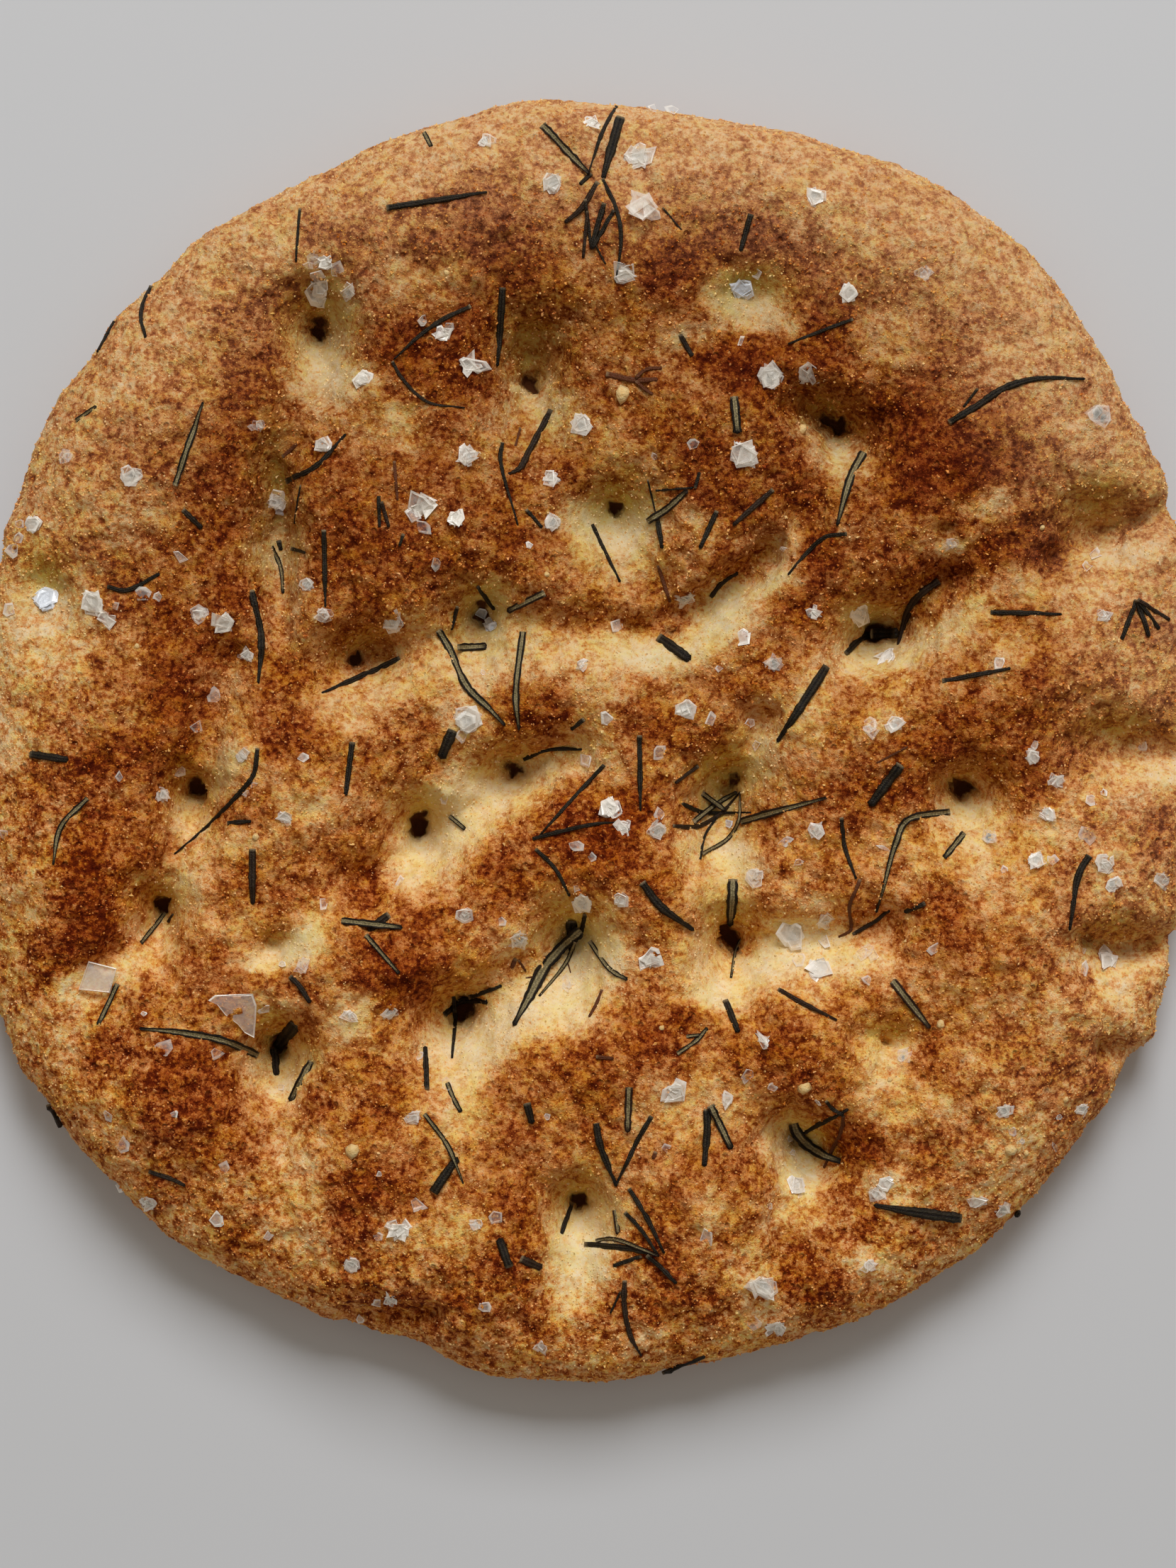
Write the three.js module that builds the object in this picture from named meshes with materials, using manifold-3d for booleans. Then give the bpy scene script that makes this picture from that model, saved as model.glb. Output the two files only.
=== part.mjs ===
// A round loaf of grain-free focaccia: one low slab of bread with finger dimples pressed in its top,
// and rosemary needles and salt flakes baked into the crust.
// Millimetres. X runs across the loaf, Y along it, Z up. The loaf rests on z = 0.
import * as THREE from "three";
import { mergeVertices } from "three/addons/utils/BufferGeometryUtils.js";
import Module from "manifold-3d";

const wasm = await Module();
wasm.setup();

// Driving sizes of the bread
const MEAN_RADIUS = 130;
const WAIST_HEIGHT = 9; // the side is widest here
const CRUST_HEIGHT = 23; // top of the crust before mounds and dimples
const SHOULDER_START = 0.8; // the crust starts to round off at this share of the way to the rim
const SHOULDER_POWER = 2.2; // higher makes the shoulder of the loaf squarer
const TUCK = 6; // the flat base is this much smaller than the rim, all round
const FACE_SIZE = 5.3; // side of one triangle of the crust
const SIDE_RINGS = 3; // rings of triangles from the waist down to the base
const BASE_SHARES = [0.66, 0.3]; // rings on the flat base, as a share of its radius
const BASE_FACE_SIZE = 16;
const RIM_PINCH = 0.45; // how far a crease that reaches the rim pulls it in, as a share of its depth
const RIM_PINCH_POWER = 8; // higher keeps that pull closer to the rim
const RIM_SAMPLES = 1440; // points on the smooth curve through the rim
const SHOULDER_SAMPLES = 4000; // and on each part of the line from the middle of the crust to the waist
const CLOSEST_SHARE = 0.006; // the last ring of the crust is at least this far inside the rim
const MOUND_SCALE = 1.9; // the heights and depths listed below are read off flatter than they are
const BOWL_SCALE = 2.7;
const CREASE_SCALE = 3.2;
const HOLE_SCALE = 0.75;
const NEAR_REACH = 1.45; // the near side of a dimple or crease is this much longer than listed
const FAR_REACH = 0.8; // and its far side this much shorter and steeper
const MOST_OVERLAP = 0.4; // where a crease runs through a bowl, the shallower one adds this share
const HOLE_SIDES = 7;
const HOLE_MOUTH = 1.25; // a hole is this much wider than its middle at the crust
const HOLE_FLOOR = 0.55; // and this much narrower at its bottom

// Driving sizes of what is baked into the crust
const NEEDLE_FLATNESS = 0.75; // thickness of a needle as a share of its width
const NEEDLE_STEM_SHARE = 0.8; // width at the stem end, as a share of the full width
const NEEDLE_TIP_SHARE = 0.4; // width at the tip
const NEEDLE_STEP = 7; // longest straight run of a needle
const NEEDLE_RISE = 0.2; // its middle stands above the crust by this share of its width
const NEEDLE_RIDGE = 1.4; // height of a needle's back over its half width, before it is flattened
const FLAKE_THICKNESS = 1.4; // a salt flake is sunk to half of this
const SLOPE_REACH = 2; // a flake lies with the slope of the crust this far round it
const FACE_LIMIT = 11600; // toppings are added until the loaf has this many faces
const FOUR_CORNER_SHARE = 0.6; // share of flakes with four corners, the others have five
const CORNER_WANDER = 0.3; // how unevenly a flake's corners are spaced
const CORNER_REACH = 0.5; // a corner's distance from the middle, as a share of the flake's length
const CORNER_REACH_SPREAD = 0.12;
const TOPPING_SEED = 417;
const WELD_DISTANCE = 1e-4; // points closer than this are one point

// The rim seen from above, clockwise from the far end.
const RIM = [
  [-13, 136.2], [10, 134.6], [30, 132], [47, 129], [62, 123.6], [77, 117], [90, 107], [100, 96.5],
  [108, 84.5], [115, 70], [121.5, 57], [126.5, 42], [129, 24], [129.9, 5], [128.8, -15], [126.6, -31],
  [123.8, -46], [121, -57.5], [119.5, -63.5], [113.4, -69.3], [110.6, -75.5], [105.6, -81.7],
  [98.3, -92.2], [90.2, -100.6], [82, -107.6], [71, -115], [57.7, -121.8], [41, -127.3], [24.5, -132],
  [9, -135.2], [-8, -136.2], [-20, -134.8], [-29.4, -131.6], [-37.8, -127.2], [-48, -124.6],
  [-60, -120.4], [-74, -114], [-88.9, -105], [-98.5, -96.6], [-105.6, -89.6], [-112.3, -81.6],
  [-120, -69.9], [-124.7, -59.6], [-127.8, -45], [-129.5, -28], [-129.9, -8], [-129.2, 12], [-127.4, 30],
  [-124.2, 43], [-121, 53], [-116.4, 66.6], [-107.5, 80], [-99.5, 91], [-90, 100.4], [-80, 109],
  [-70, 115], [-60, 119.6], [-50, 124.4], [-40, 128.8], [-28, 132.6],
];

// Mounds between the dimples: x, y, reach across, reach along, turn in degrees, height.
const MOUNDS = [
  [-30, 108, 24, 12, 0, 2], [-42, 46, 18, 19, 0, 2.6], [-90, 62, 17, 15, 0, 1.6],
  [12, 102, 14, 14, 0, 1.6], [20, 66, 15, 13, 0, 2], [82, 58, 23, 17, 20, 2.6], [92, 12, 19, 12, 10, 2.6],
  [-102, 2, 15, 14, 0, 1.4], [-60, -6, 13, 14, 0, 1.7], [-108, -32, 13, 14, 0, 1.6],
  [56, 2, 13, 14, 0, 1.5], [10, -30, 13, 10, 0, 1.6], [-50, -46, 17, 11, 15, 2.2],
  [-86, -76, 17, 15, 0, 2], [-45, -88, 17, 14, 0, 2.2], [6, -68, 19, 10, 0, 2.2], [86, -40, 18, 15, 0, 2],
  [86, -76, 17, 15, 0, 1.6], [22, -96, 15, 14, 0, 2.2], [36, -115, 20, 10, 0, 1.2],
  [-32, -112, 22, 12, 0, 1.6], [62, 108, 22, 13, -25, 1.2], [-5, 12, 16, 8, 0, 1.4],
  [44, -64, 14, 10, 0, 1.8],
];

// Bowls pressed by fingertips: x, y, reach across, reach along, turn in degrees, depth.
const BOWLS = [
  [-57.5, 88, 7.5, 10, 0, 5], [-12.5, 80, 7.5, 12, 0, 5.8], [34, 94, 8, 6, 0, 2.4],
  [51, 68, 12, 6, -25, 5.4], [5, 48, 9, 8, 0, 3.2], [-66, 46, 4.5, 18, 0, 5.2], [-115, 32, 7, 8, 0, 2.4],
  [-23.5, 27, 7, 8, 0, 5], [-48, 19, 11, 6, 15, 4.6], [62, 24.5, 11, 7.5, 15, 5.8],
  [108, 46, 11, 9, 15, 4], [-84, -11, 6.5, 8, 0, 4.8], [-91.5, -36, 5.5, 9, 0, 4.8],
  [-16.5, -5.5, 11, 6, 12, 4.6], [-36, -17.5, 6.5, 8, 10, 4.6], [28, -12, 9, 13, -15, 6.2],
  [80, -9.5, 7.5, 7, 0, 4.8], [112, 0, 12, 7, 0, 2.4], [30, -41, 7.5, 9, 0, 5.2], [111, -43, 10, 6, 0, 3.2],
  [-4, -42, 7.5, 10, -20, 5], [-27.5, -56.5, 8, 7, 25, 5.2], [-66.5, -66, 7.5, 9, 0, 5.2],
  [62.7, -62.5, 7, 5, 0, 2.2], [46, -85, 11, 7, -35, 5.4], [-2.5, -98, 7, 8, 0, 3.8],
  [-66.5, -42.5, 5, 4, 0, 1.6],
];

// Folds and troughs in the crust: start x, y, end x, y, half width, depth.
const CREASES = [
  [38, 41, 34.5, 36.5, 4, 2.6], [34.5, 36.5, 24.5, 29.8, 4, 3], [24.5, 29.8, 10, 24, 4.5, 2.6],
  [10, 24, -14, 25, 6, 1.6], [55, 18, 75, 35, 4.5, 2.4], [98, 39, 108, 45, 3.5, 2.4],
  [108, 45, 130, 52, 3.2, 3.4], [-46, -29, -5, -1, 6, 2.4], [30, -12, 36, 5, 4, 2.2],
  [115, -1, 131, -3, 4, 2], [31, -43, 62, -39, 6, 2.4], [105, -41.5, 112, -44, 3, 3],
  [112, -44, 131, -41, 3.2, 3.6], [-4, -42, -32, -60, 7, 2.2], [-28, -58, -29, -66, 3.5, 2],
  [-3, -99, -4, -113, 7, 1.8], [-66, -68, -66, -80, 6, 1.6], [109, -64.5, 121, -66.5, 2.6, 2.4],
  [-52, -121.4, -33, -120, 2.6, 1.8], [-76, 18, -83, -8, 5, 1.8], [-84, -12, -91, -34, 5, 1.9],
  [-92, -38, -104, -50, 5, 1.8], [-57, 84, -65, 58, 6, 1.4], [53, 64, 45, 46, 5, 1.4],
  [6, 46, 15, 30, 6, 1.5], [-46, 18, -26, 24, 5, 1.5], [30, -14, 30, -38, 6, 1.6],
  [44, -88, 42, -103, 6, 1.4],
];

// Deep holes at the bottom of the bowls: x, y, half width, half length, turn in degrees, depth.
const HOLES = [
  [-58, 88, 2.2, 2.8, 20, 6], [-12.6, 76.8, 2.4, 2.2, 0, 6], [52.6, 67.4, 4.4, 1.8, -35, 6],
  [5.5, 50.1, 1.7, 1.7, 0, 5], [-22.5, 27.5, 2.5, 3, 0, 5], [-49.9, 17.8, 2, 1.8, 0, 5],
  [61.8, 23.3, 4, 2.2, 5, 5], [17.5, 22.8, 2, 1.5, -20, 3], [-83.3, -9.9, 2.2, 2.7, 10, 6],
  [-91.6, -34.9, 1.8, 2.4, 0, 5], [-16.7, -6.1, 2.6, 2.2, 30, 6], [-36.2, -17.3, 2, 3.2, -25, 6],
  [30.8, -8.2, 1.7, 2.8, -25, 4], [79.3, -9.6, 2.4, 2.3, 0, 6], [29.9, -41.5, 1.9, 3.4, 0, 6],
  [-27.3, -57.3, 2.5, 3.2, -20, 6], [-66.3, -64.8, 2.2, 2.8, 0, 6], [62.7, -63.6, 2, 1.4, 0, 3],
  [43.5, -84, 2, 2.2, 0, 3], [-2.3, -97.6, 2.3, 2, 0, 6], [74, 43.9, 3, 2, 0, 2],
  [-66.5, -42.5, 2.6, 2.2, 0, 2],
];

// Needles of rosemary as they lie, stem end first: width, then x and y of each point along the needle.
const NEEDLES = [
  [0.8, -100.9, 89.3, -104.3, 82.6], [1, -93.1, 96.9, -94.8, 90.7, -93.5, 85.1],
  [0.6, -61.1, 112.4, -61.7, 100.8], [1.4, -42.6, 111.7, -21.7, 114.9],
  [1.2, 1.7, 117.2, -2, 111.4, -5.1, 108.8], [0.8, -1, 113.5, 0.3, 103.1],
  [1, -25, 91.3, -33, 87, -41, 80.1], [1.5, -18.3, 95.2, -19.5, 79.5],
  [0.8, 5.7, 135, 2.6, 128.4, -0.3, 119.3], [2, 6.5, 132.1, 2.8, 118.4],
  [0.9, 2.6, 118, 5.5, 111.4, 6.5, 104.8, 5.4, 96.1], [1.2, 3, 112.6, 0.3, 103.3],
  [1.2, 33.7, 110.4, 31.6, 102.9], [0.8, 55.2, 88.6, 41.7, 83.5], [1.1, 18.9, 85.3, 21.4, 80.9],
  [1.7, -10, 130, -0.3, 119.3], [1.2, 3.4, 77.1, 9.6, 75.7, 14, 75.8], [1.4, -86.8, 53.5, -81, 70.8],
  [1.2, -85.2, 48.5, -81.4, 44.8], [1.1, -101.2, 32.5, -97.4, 31.7, -90.3, 35.1],
  [1.5, -71.3, 31.9, -69.2, 22, -69.6, 12.5], [1, -67.7, 41.6, -65.7, 37, -65.1, 31.7],
  [1.2, -64.4, 55.1, -57.8, 57.4, -51.3, 64.3], [0.8, -41.4, 79.6, -39.5, 76.3, -34.1, 71.1, -26.3, 70],
  [1.4, -8.2, 70.3, -12.6, 61.8, -17.1, 56.2], [0.9, -18.4, 63, -18.8, 59.3, -15.1, 45.4],
  [0.8, -44.1, 51.2, -43.9, 44.8], [1.1, -55.7, 44.3, -55.5, 28.4], [1.1, -23.6, 32.7, -20.3, 28.2],
  [1.6, -9.5, 31.1, -17.2, 27.6], [1.7, -31.9, 23.5, -29.6, 19.6, -25.9, 11.7, -18, 3.6],
  [1.8, -27.9, 19.9, -22.1, 20.3], [1.5, -14.1, 23.2, -15.5, 9.6, -14.9, 2.6],
  [1.3, -40.2, 17.7, -56.3, 10.3], [2, 30.1, 72.1, 30.8, 64.7], [1.6, 12.1, 46.4, 16.2, 48.9, 20.2, 52.4],
  [1.1, 14.2, 46.8, 15.2, 40.8], [1.1, 26.6, 48.3, 23.1, 40.6], [1.2, 38.4, 52.8, 30.1, 45.4],
  [1.9, 57.9, 61.3, 54.8, 55.5, 51.9, 45.6], [1, 53.8, 43.5, 46.1, 40.2, 41.7, 35.2],
  [0.9, 0.5, 46, 2.6, 41.4, 6.3, 33.8], [0.8, 14.4, 37.1, 16.9, 29.6], [1, 25.6, 30.7, 31.2, 35.8],
  [2.2, 14.4, 22.2, 20.8, 17.4], [1.4, 54.2, 18.8, 61.4, 23.8],
  [1.5, 75.1, 66.7, 80.7, 70, 86.5, 73.8, 93.2, 75.9, 103.9, 76.3],
  [1.8, 73.7, 34, 68.9, 30.2, 65.6, 20.9], [2.4, 60, 23.2, 65.4, 23.2], [1.1, 84, 27.1, 98.8, 26.7],
  [1.1, 114.9, 29.8, 111.6, 21.5], [1.1, 114.9, 29.8, 117.4, 22.2], [1.6, -117.7, -2.6, -109.4, -3.8],
  [1.2, -105.3, -11.9, -110.9, -18.1, -112.3, -25.6],
  [1, -69.5, -1.4, -73.8, -11.1, -80.4, -17.3, -87.9, -23.7], [1, -76.2, -17.1, -71.1, -16.7],
  [1.5, -70.7, -22.5, -70.7, -33.9], [1, -90.8, -36.4, -95.1, -42.6], [1.2, -49.7, -0.1, -51.1, -11.1],
  [2.2, -28.8, 2.4, -31.2, -3.2], [1, -14.2, -3.7, -1.8, -1.6], [0.9, 3, -4.9, -4.7, -13.2, -10.5, -19.6],
  [0.9, -12, -20.4, 5.3, -16.9], [0.9, -11.4, -22.5, -7.2, -26.8, -4.3, -32.4],
  [1.6, -52, -37.5, -39.5, -38.9], [1.9, -42, -36.4, -46.2, -39.3], [1.1, -46.8, -40.4, -39.9, -48.3],
  [2.4, -3.9, -38, -4, -42], [2, 49.8, 15.9, 39.5, 0.2], [1.1, 10.4, 1.3, 10.6, -14.4],
  [0.9, 22.9, -5.1, 18, -8.6], [0.9, 19.4, -13, 34.1, -15], [1.6, 32, -16.9, 37.4, -15.2, 49.4, -11.8],
  [1, 17.5, -17.7, 22.9, -17.9, 32, -10.7], [0.9, 23.9, -23.7, 31.6, -16.5, 32, -10.7],
  [2.2, 30.2, -29, 29.9, -38.9], [1.8, 10.9, -29.5, 14.6, -34.3, 21.6, -39.5],
  [0.9, 52.7, -15.9, 53.6, -22.3, 55.8, -28.7], [0.8, 56.7, -28.9, 54.6, -34.7, 55.2, -39.7],
  [1.5, 76.2, -14.7, 66.6, -16.5, 64.1, -21.5, 60.4, -35.8], [1.1, 73.7, 12.6, 87.6, 15.2],
  [2.2, 65, -4.9, 58.9, -13.2], [1.4, 78.9, -19.2, 74.3, -24.2],
  [1.5, 104.6, -23.9, 102.3, -27.7, 100.4, -39.3], [1.2, -99.5, -51, -103.2, -59.3],
  [1.7, -70.4, -66.5, -76.2, -63, -84.5, -61.1, -94.1, -60.1], [3, -62.2, -59.5, -66.7, -65],
  [1.6, -67.5, -65.3, -66.7, -70.7], [1.9, -58.8, -67.4, -63.2, -75.7], [1.1, -115, -76.9, -112.5, -81.7],
  [1, -92.8, -90.4, -85.2, -93.3], [1.2, -62.8, -49.1, -58.6, -54.5],
  [1.6, -31, -58, -28.3, -55.5, -21.9, -55.1], [0.9, -25.9, -54.5, -18.8, -51.6],
  [0.9, -29, -54.1, -28.8, -60, -29.2, -66.9], [1.2, -34.2, -73, -34.8, -64.5],
  [1.1, -30, -71.7, -27.1, -77.5], [1, -34.6, -77.9, -29.6, -84.8, -26.5, -92.4],
  [2, -32.7, -94.3, -27.9, -87.3], [1.7, -13.2, -75.7, -12.2, -79.8], [1.2, -3.9, -98, -6, -103.9],
  [2.6, -3, -40.5, -9.7, -47.9, -15.9, -59.3], [1.1, -0.1, -42.3, 4.2, -47.9, 7.7, -49.9],
  [0.8, 2.6, -52.2, -0.1, -57.8], [1.6, 8.2, -72.3, 7.9, -81.5], [1.5, 1.3, -80, 2.1, -84.4, 5.5, -93.1],
  [1.1, 12.9, -78.4, 8, -87.7, 5.5, -92.9], [1, 18.3, -65.3, 24.5, -60.1], [1.4, 28.5, -54.3, 31, -60.7],
  [1.1, 39.5, -52, 51.5, -58.2], [1.7, 24.5, -76.9, 23.9, -88.5], [1.7, 25.2, -76.1, 29.5, -85],
  [2.4, 43.2, -81, 46.5, -86, 53.1, -88.9], [1.1, 45.5, -83.1, 54, -77.1],
  [0.9, 53.3, -78.6, 53.1, -81.9, 49.8, -90.4], [1.1, 8.2, -93.7, 11.7, -99.3, 15.5, -107],
  [0.9, 7.3, -98.7, 10.8, -102.4, 14.4, -107.8], [1.2, 5.3, -98.5, 5.9, -103.4],
  [1.8, 63.5, -50.2, 71.2, -59.9], [2.3, 78.2, -100.3, 70.4, -99.1, 60, -97.4],
  [1.9, -16.8, -109.9, -18.9, -104.2], [1.7, -14.5, -108.2, -10.3, -110.3],
  [1.2, -1.2, -106.2, 9.2, -106.5, 14.2, -107.6], [1.1, 11.9, -107.6, 18, -113.4],
  [1.2, 7.3, -113.1, 7.2, -118, 10.8, -129.4], [1.1, 15.4, -134.3, 24.2, -130],
];

// Salt flakes as they lie: x, y, length, width. The largest take their places first.
const FLAKES = [
  [-103.6, -49.5, 7, 6.3], [-74.5, -57, 9.5, 8], [12.7, -45.4, 6, 5.5], [42.8, -40.9, 7, 5],
  [47.8, -47.9, 5.5, 4.5], [36.6, -114.5, 8, 5], [-40.2, -102.2, 6, 4.5], [18.1, -73.8, 6, 5],
  [10.9, 111.8, 9, 6], [10.4, 123, 8, 4], [7.5, 97.7, 7, 5], [32, 95.9, 6, 6], [-57.6, 94.5, 6, 5],
  [-8, 117.5, 5, 5], [-30.6, 85.7, 5, 4], [-24.5, 79, 7, 3], [45.9, 77.3, 5, 5], [38.2, 76.5, 6, 5],
  [32.4, 60.1, 7, 6], [-35.4, 49.3, 7, 6], [-25.7, 60, 6, 3], [-1.8, 66.7, 5, 5], [-115, 30.2, 6, 5],
  [-104.4, 29.4, 6, 4], [-76.7, 24.9, 5.5, 4], [-95.9, 55.5, 5, 4], [-25.7, 4.7, 6, 5.5],
  [56.7, 26.9, 6, 4.5], [107, 68.8, 6, 5], [4.2, -14, 5.5, 4.5], [-1.4, -33.9, 4.5, 4.5],
  [43.2, -93.5, 5, 4.5], [62.1, -92.9, 4.5, 4], [58.3, -44.6, 5, 4.5], [-93.2, -97.8, 4.5, 3.5],
  [107.7, -25.6, 5, 4], [97.7, -8.2, 5, 2.5], [47, 114.3, 5, 5], [81.4, -96.8, 5, 3], [-47.6, 76, 5, 4],
];

// Portable random numbers, the same on every run.
function randomFrom(seed) {
  const multiplier = 16807;
  const modulus = 2147483647;
  let state = seed;
  return () => {
    state = (state * multiplier) % modulus;
    return state / modulus;
  };
}

// The rim's radius for every bearing, from a smooth closed curve through the rim points.
const rimPoints = RIM.map(([x, y]) => new THREE.Vector3(x, y, 0));
const rimCurve = new THREE.CatmullRomCurve3(rimPoints, true, "centripetal");
const rimTable = rimCurve
  .getPoints(RIM_SAMPLES)
  .map((point) => ({ bearing: Math.atan2(point.y, point.x), radius: Math.hypot(point.x, point.y) }))
  .sort((a, b) => a.bearing - b.bearing);

function rimRadius(bearing) {
  let low = 0;
  let high = rimTable.length - 1;
  while (high - low > 1) {
    const middle = (low + high) >> 1;
    if (rimTable[middle].bearing > bearing) high = middle;
    else low = middle;
  }
  const span = rimTable[high].bearing - rimTable[low].bearing;
  const share = span > 0 ? THREE.MathUtils.clamp((bearing - rimTable[low].bearing) / span, 0, 1) : 0;
  return THREE.MathUtils.lerp(rimTable[low].radius, rimTable[high].radius, share);
}

// How strongly an oval mark counts at a point: 1 in its middle, fading to nothing.
function oval(x, y, [midX, midY, across, along, turn]) {
  const angle = THREE.MathUtils.degToRad(turn);
  const dx = x - midX;
  const dy = y - midY;
  const u = (dx * Math.cos(angle) + dy * Math.sin(angle)) / across;
  const v = (dy * Math.cos(angle) - dx * Math.sin(angle)) / along;
  return Math.exp(-(u * u + v * v));
}

// Makes the near side of a dent gentler and its far side steeper.
const leaned = (rise) => (rise < 0 ? rise / NEAR_REACH : rise / FAR_REACH);

// How strongly a crease counts, which is a straight stretch with soft sides.
function trough(x, y, [startX, startY, endX, endY, halfWidth]) {
  const runX = endX - startX;
  const runY = endY - startY;
  const along = ((x - startX) * runX + (y - startY) * runY) / (runX * runX + runY * runY);
  const share = THREE.MathUtils.clamp(along, 0, 1);
  const away = Math.hypot(x - startX - share * runX, leaned(y - startY - share * runY)) / halfWidth;
  return Math.exp(-away * away);
}

// Slow swell of the dough over the whole loaf.
function swell(x, y) {
  return (
    0.5 * Math.sin(0.083 * x + 0.041 * y + 1.3) +
    0.45 * Math.sin(-0.052 * x + 0.097 * y + 4.1) +
    0.3 * Math.sin(0.131 * x - 0.087 * y + 2.2) +
    0.25 * Math.sin(0.109 * x + 0.143 * y + 5.6)
  );
}

const deepest = (marks, amount) => marks.reduce((most, mark) => Math.max(most, amount(mark) * mark[5]), 0);

const creaseDepth = (x, y) => deepest(CREASES, (mark) => trough(x, y, mark));

function relief(x, y) {
  const raised = MOUND_SCALE * MOUNDS.reduce((sum, mark) => sum + oval(x, y, mark) * mark[5], 0);
  const pressed = BOWL_SCALE * deepest(BOWLS, (mark) => oval(x, mark[1] + leaned(y - mark[1]), mark));
  const folded = CREASE_SCALE * creaseDepth(x, y);
  return swell(x, y) + raised - Math.max(pressed, folded) - MOST_OVERLAP * Math.min(pressed, folded);
}

// Height over the waist, from 1 on the flat of the crust to 0 at the rim.
function shoulderHeight(share) {
  const out = THREE.MathUtils.clamp((share - SHOULDER_START) / (1 - SHOULDER_START), 0, 1);
  return (1 - out ** SHOULDER_POWER) ** (1 / SHOULDER_POWER);
}

function crustHeight(x, y) {
  const shoulder = shoulderHeight(Math.hypot(x, y) / rimRadius(Math.atan2(y, x)));
  return WAIST_HEIGHT + (CRUST_HEIGHT - WAIST_HEIGHT + relief(x, y)) * shoulder;
}

// Places along the line from the middle of the crust to the waist, at even steps.
function crustShares() {
  const samples = [];
  for (let i = 0; i < SHOULDER_SAMPLES; i += 1) samples.push((SHOULDER_START * i) / SHOULDER_SAMPLES);
  for (let i = 0; i <= SHOULDER_SAMPLES; i += 1) {
    const out = Math.sin((Math.PI / 2) * (i / SHOULDER_SAMPLES)) ** (2 / SHOULDER_POWER);
    samples.push(SHOULDER_START + (1 - SHOULDER_START) * out);
  }
  const stops = [0];
  let travelled = 0;
  for (let i = 1; i < samples.length; i += 1) {
    const run = MEAN_RADIUS * (samples[i] - samples[i - 1]);
    const drop = shoulderHeight(samples[i - 1]) - shoulderHeight(samples[i]);
    travelled += Math.hypot(run, (CRUST_HEIGHT - WAIST_HEIGHT) * drop);
    if (travelled >= FACE_SIZE) {
      stops.push(samples[i]);
      travelled = 0;
    }
  }
  if (1 - stops.at(-1) < CLOSEST_SHARE) stops.pop();
  stops.push(1);
  return stops;
}

// One ring of points, given a rule that turns a bearing into a radius and a height.
function ring(count, rule) {
  const points = [];
  for (let i = 0; i < count; i += 1) {
    const bearing = (2 * Math.PI * i) / count;
    const wrapped = bearing > Math.PI ? bearing - 2 * Math.PI : bearing;
    const rim = rimRadius(wrapped);
    const towards = [Math.cos(bearing), Math.sin(bearing)];
    const [radius, height] = rule(rim, towards);
    points.push([radius * towards[0], radius * towards[1], height]);
  }
  return points;
}

function pinchedRadius(rim, towards, share) {
  const depth = creaseDepth(rim * towards[0], rim * towards[1]);
  return rim * share - RIM_PINCH * depth * share ** RIM_PINCH_POWER;
}

function breadRings() {
  const rings = [];
  const facesRound = (share, size) => Math.max(1, Math.round((2 * Math.PI * MEAN_RADIUS * share) / size));
  for (const share of crustShares()) {
    rings.push(
      ring(facesRound(share, FACE_SIZE), (rim, towards) => [
        pinchedRadius(rim, towards, share),
        crustHeight(rim * share * towards[0], rim * share * towards[1]),
      ]),
    );
  }
  for (let i = 1; i <= SIDE_RINGS; i += 1) {
    const angle = (Math.PI / 2) * (i / SIDE_RINGS);
    rings.push(
      ring(facesRound(1, FACE_SIZE), (rim, towards) => [
        pinchedRadius(rim, towards, 1) - TUCK * (1 - Math.cos(angle)),
        WAIST_HEIGHT * (1 - Math.sin(angle)),
      ]),
    );
  }
  for (const share of BASE_SHARES) {
    rings.push(ring(facesRound(share, BASE_FACE_SIZE), (rim) => [(rim - TUCK) * share, 0]));
  }
  rings.push([[0, 0, 0]]);
  return rings;
}

// Joins each ring to the next with triangles, whatever their counts.
function closedGeometry(rings) {
  const positions = rings.flat(2);
  const index = [];
  let first = 0;
  for (let r = 0; r + 1 < rings.length; r += 1) {
    const inner = rings[r].length;
    const outer = rings[r + 1].length;
    const next = first + inner;
    let i = 0;
    let j = 0;
    while (i < inner || j < outer) {
      const here = first + (i % inner);
      const there = next + (j % outer);
      const stepOuter = i >= inner || (j < outer && (j + 1) / outer <= (i + 1) / inner);
      if (stepOuter) {
        if (outer > 1) index.push(here, there, next + ((j + 1) % outer));
        j += 1;
      } else {
        if (inner > 1) index.push(here, there, first + ((i + 1) % inner));
        i += 1;
      }
    }
    first = next;
  }
  const geometry = new THREE.BufferGeometry();
  geometry.setAttribute("position", new THREE.Float32BufferAttribute(positions, 3));
  geometry.setIndex(index);
  return geometry;
}

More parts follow.
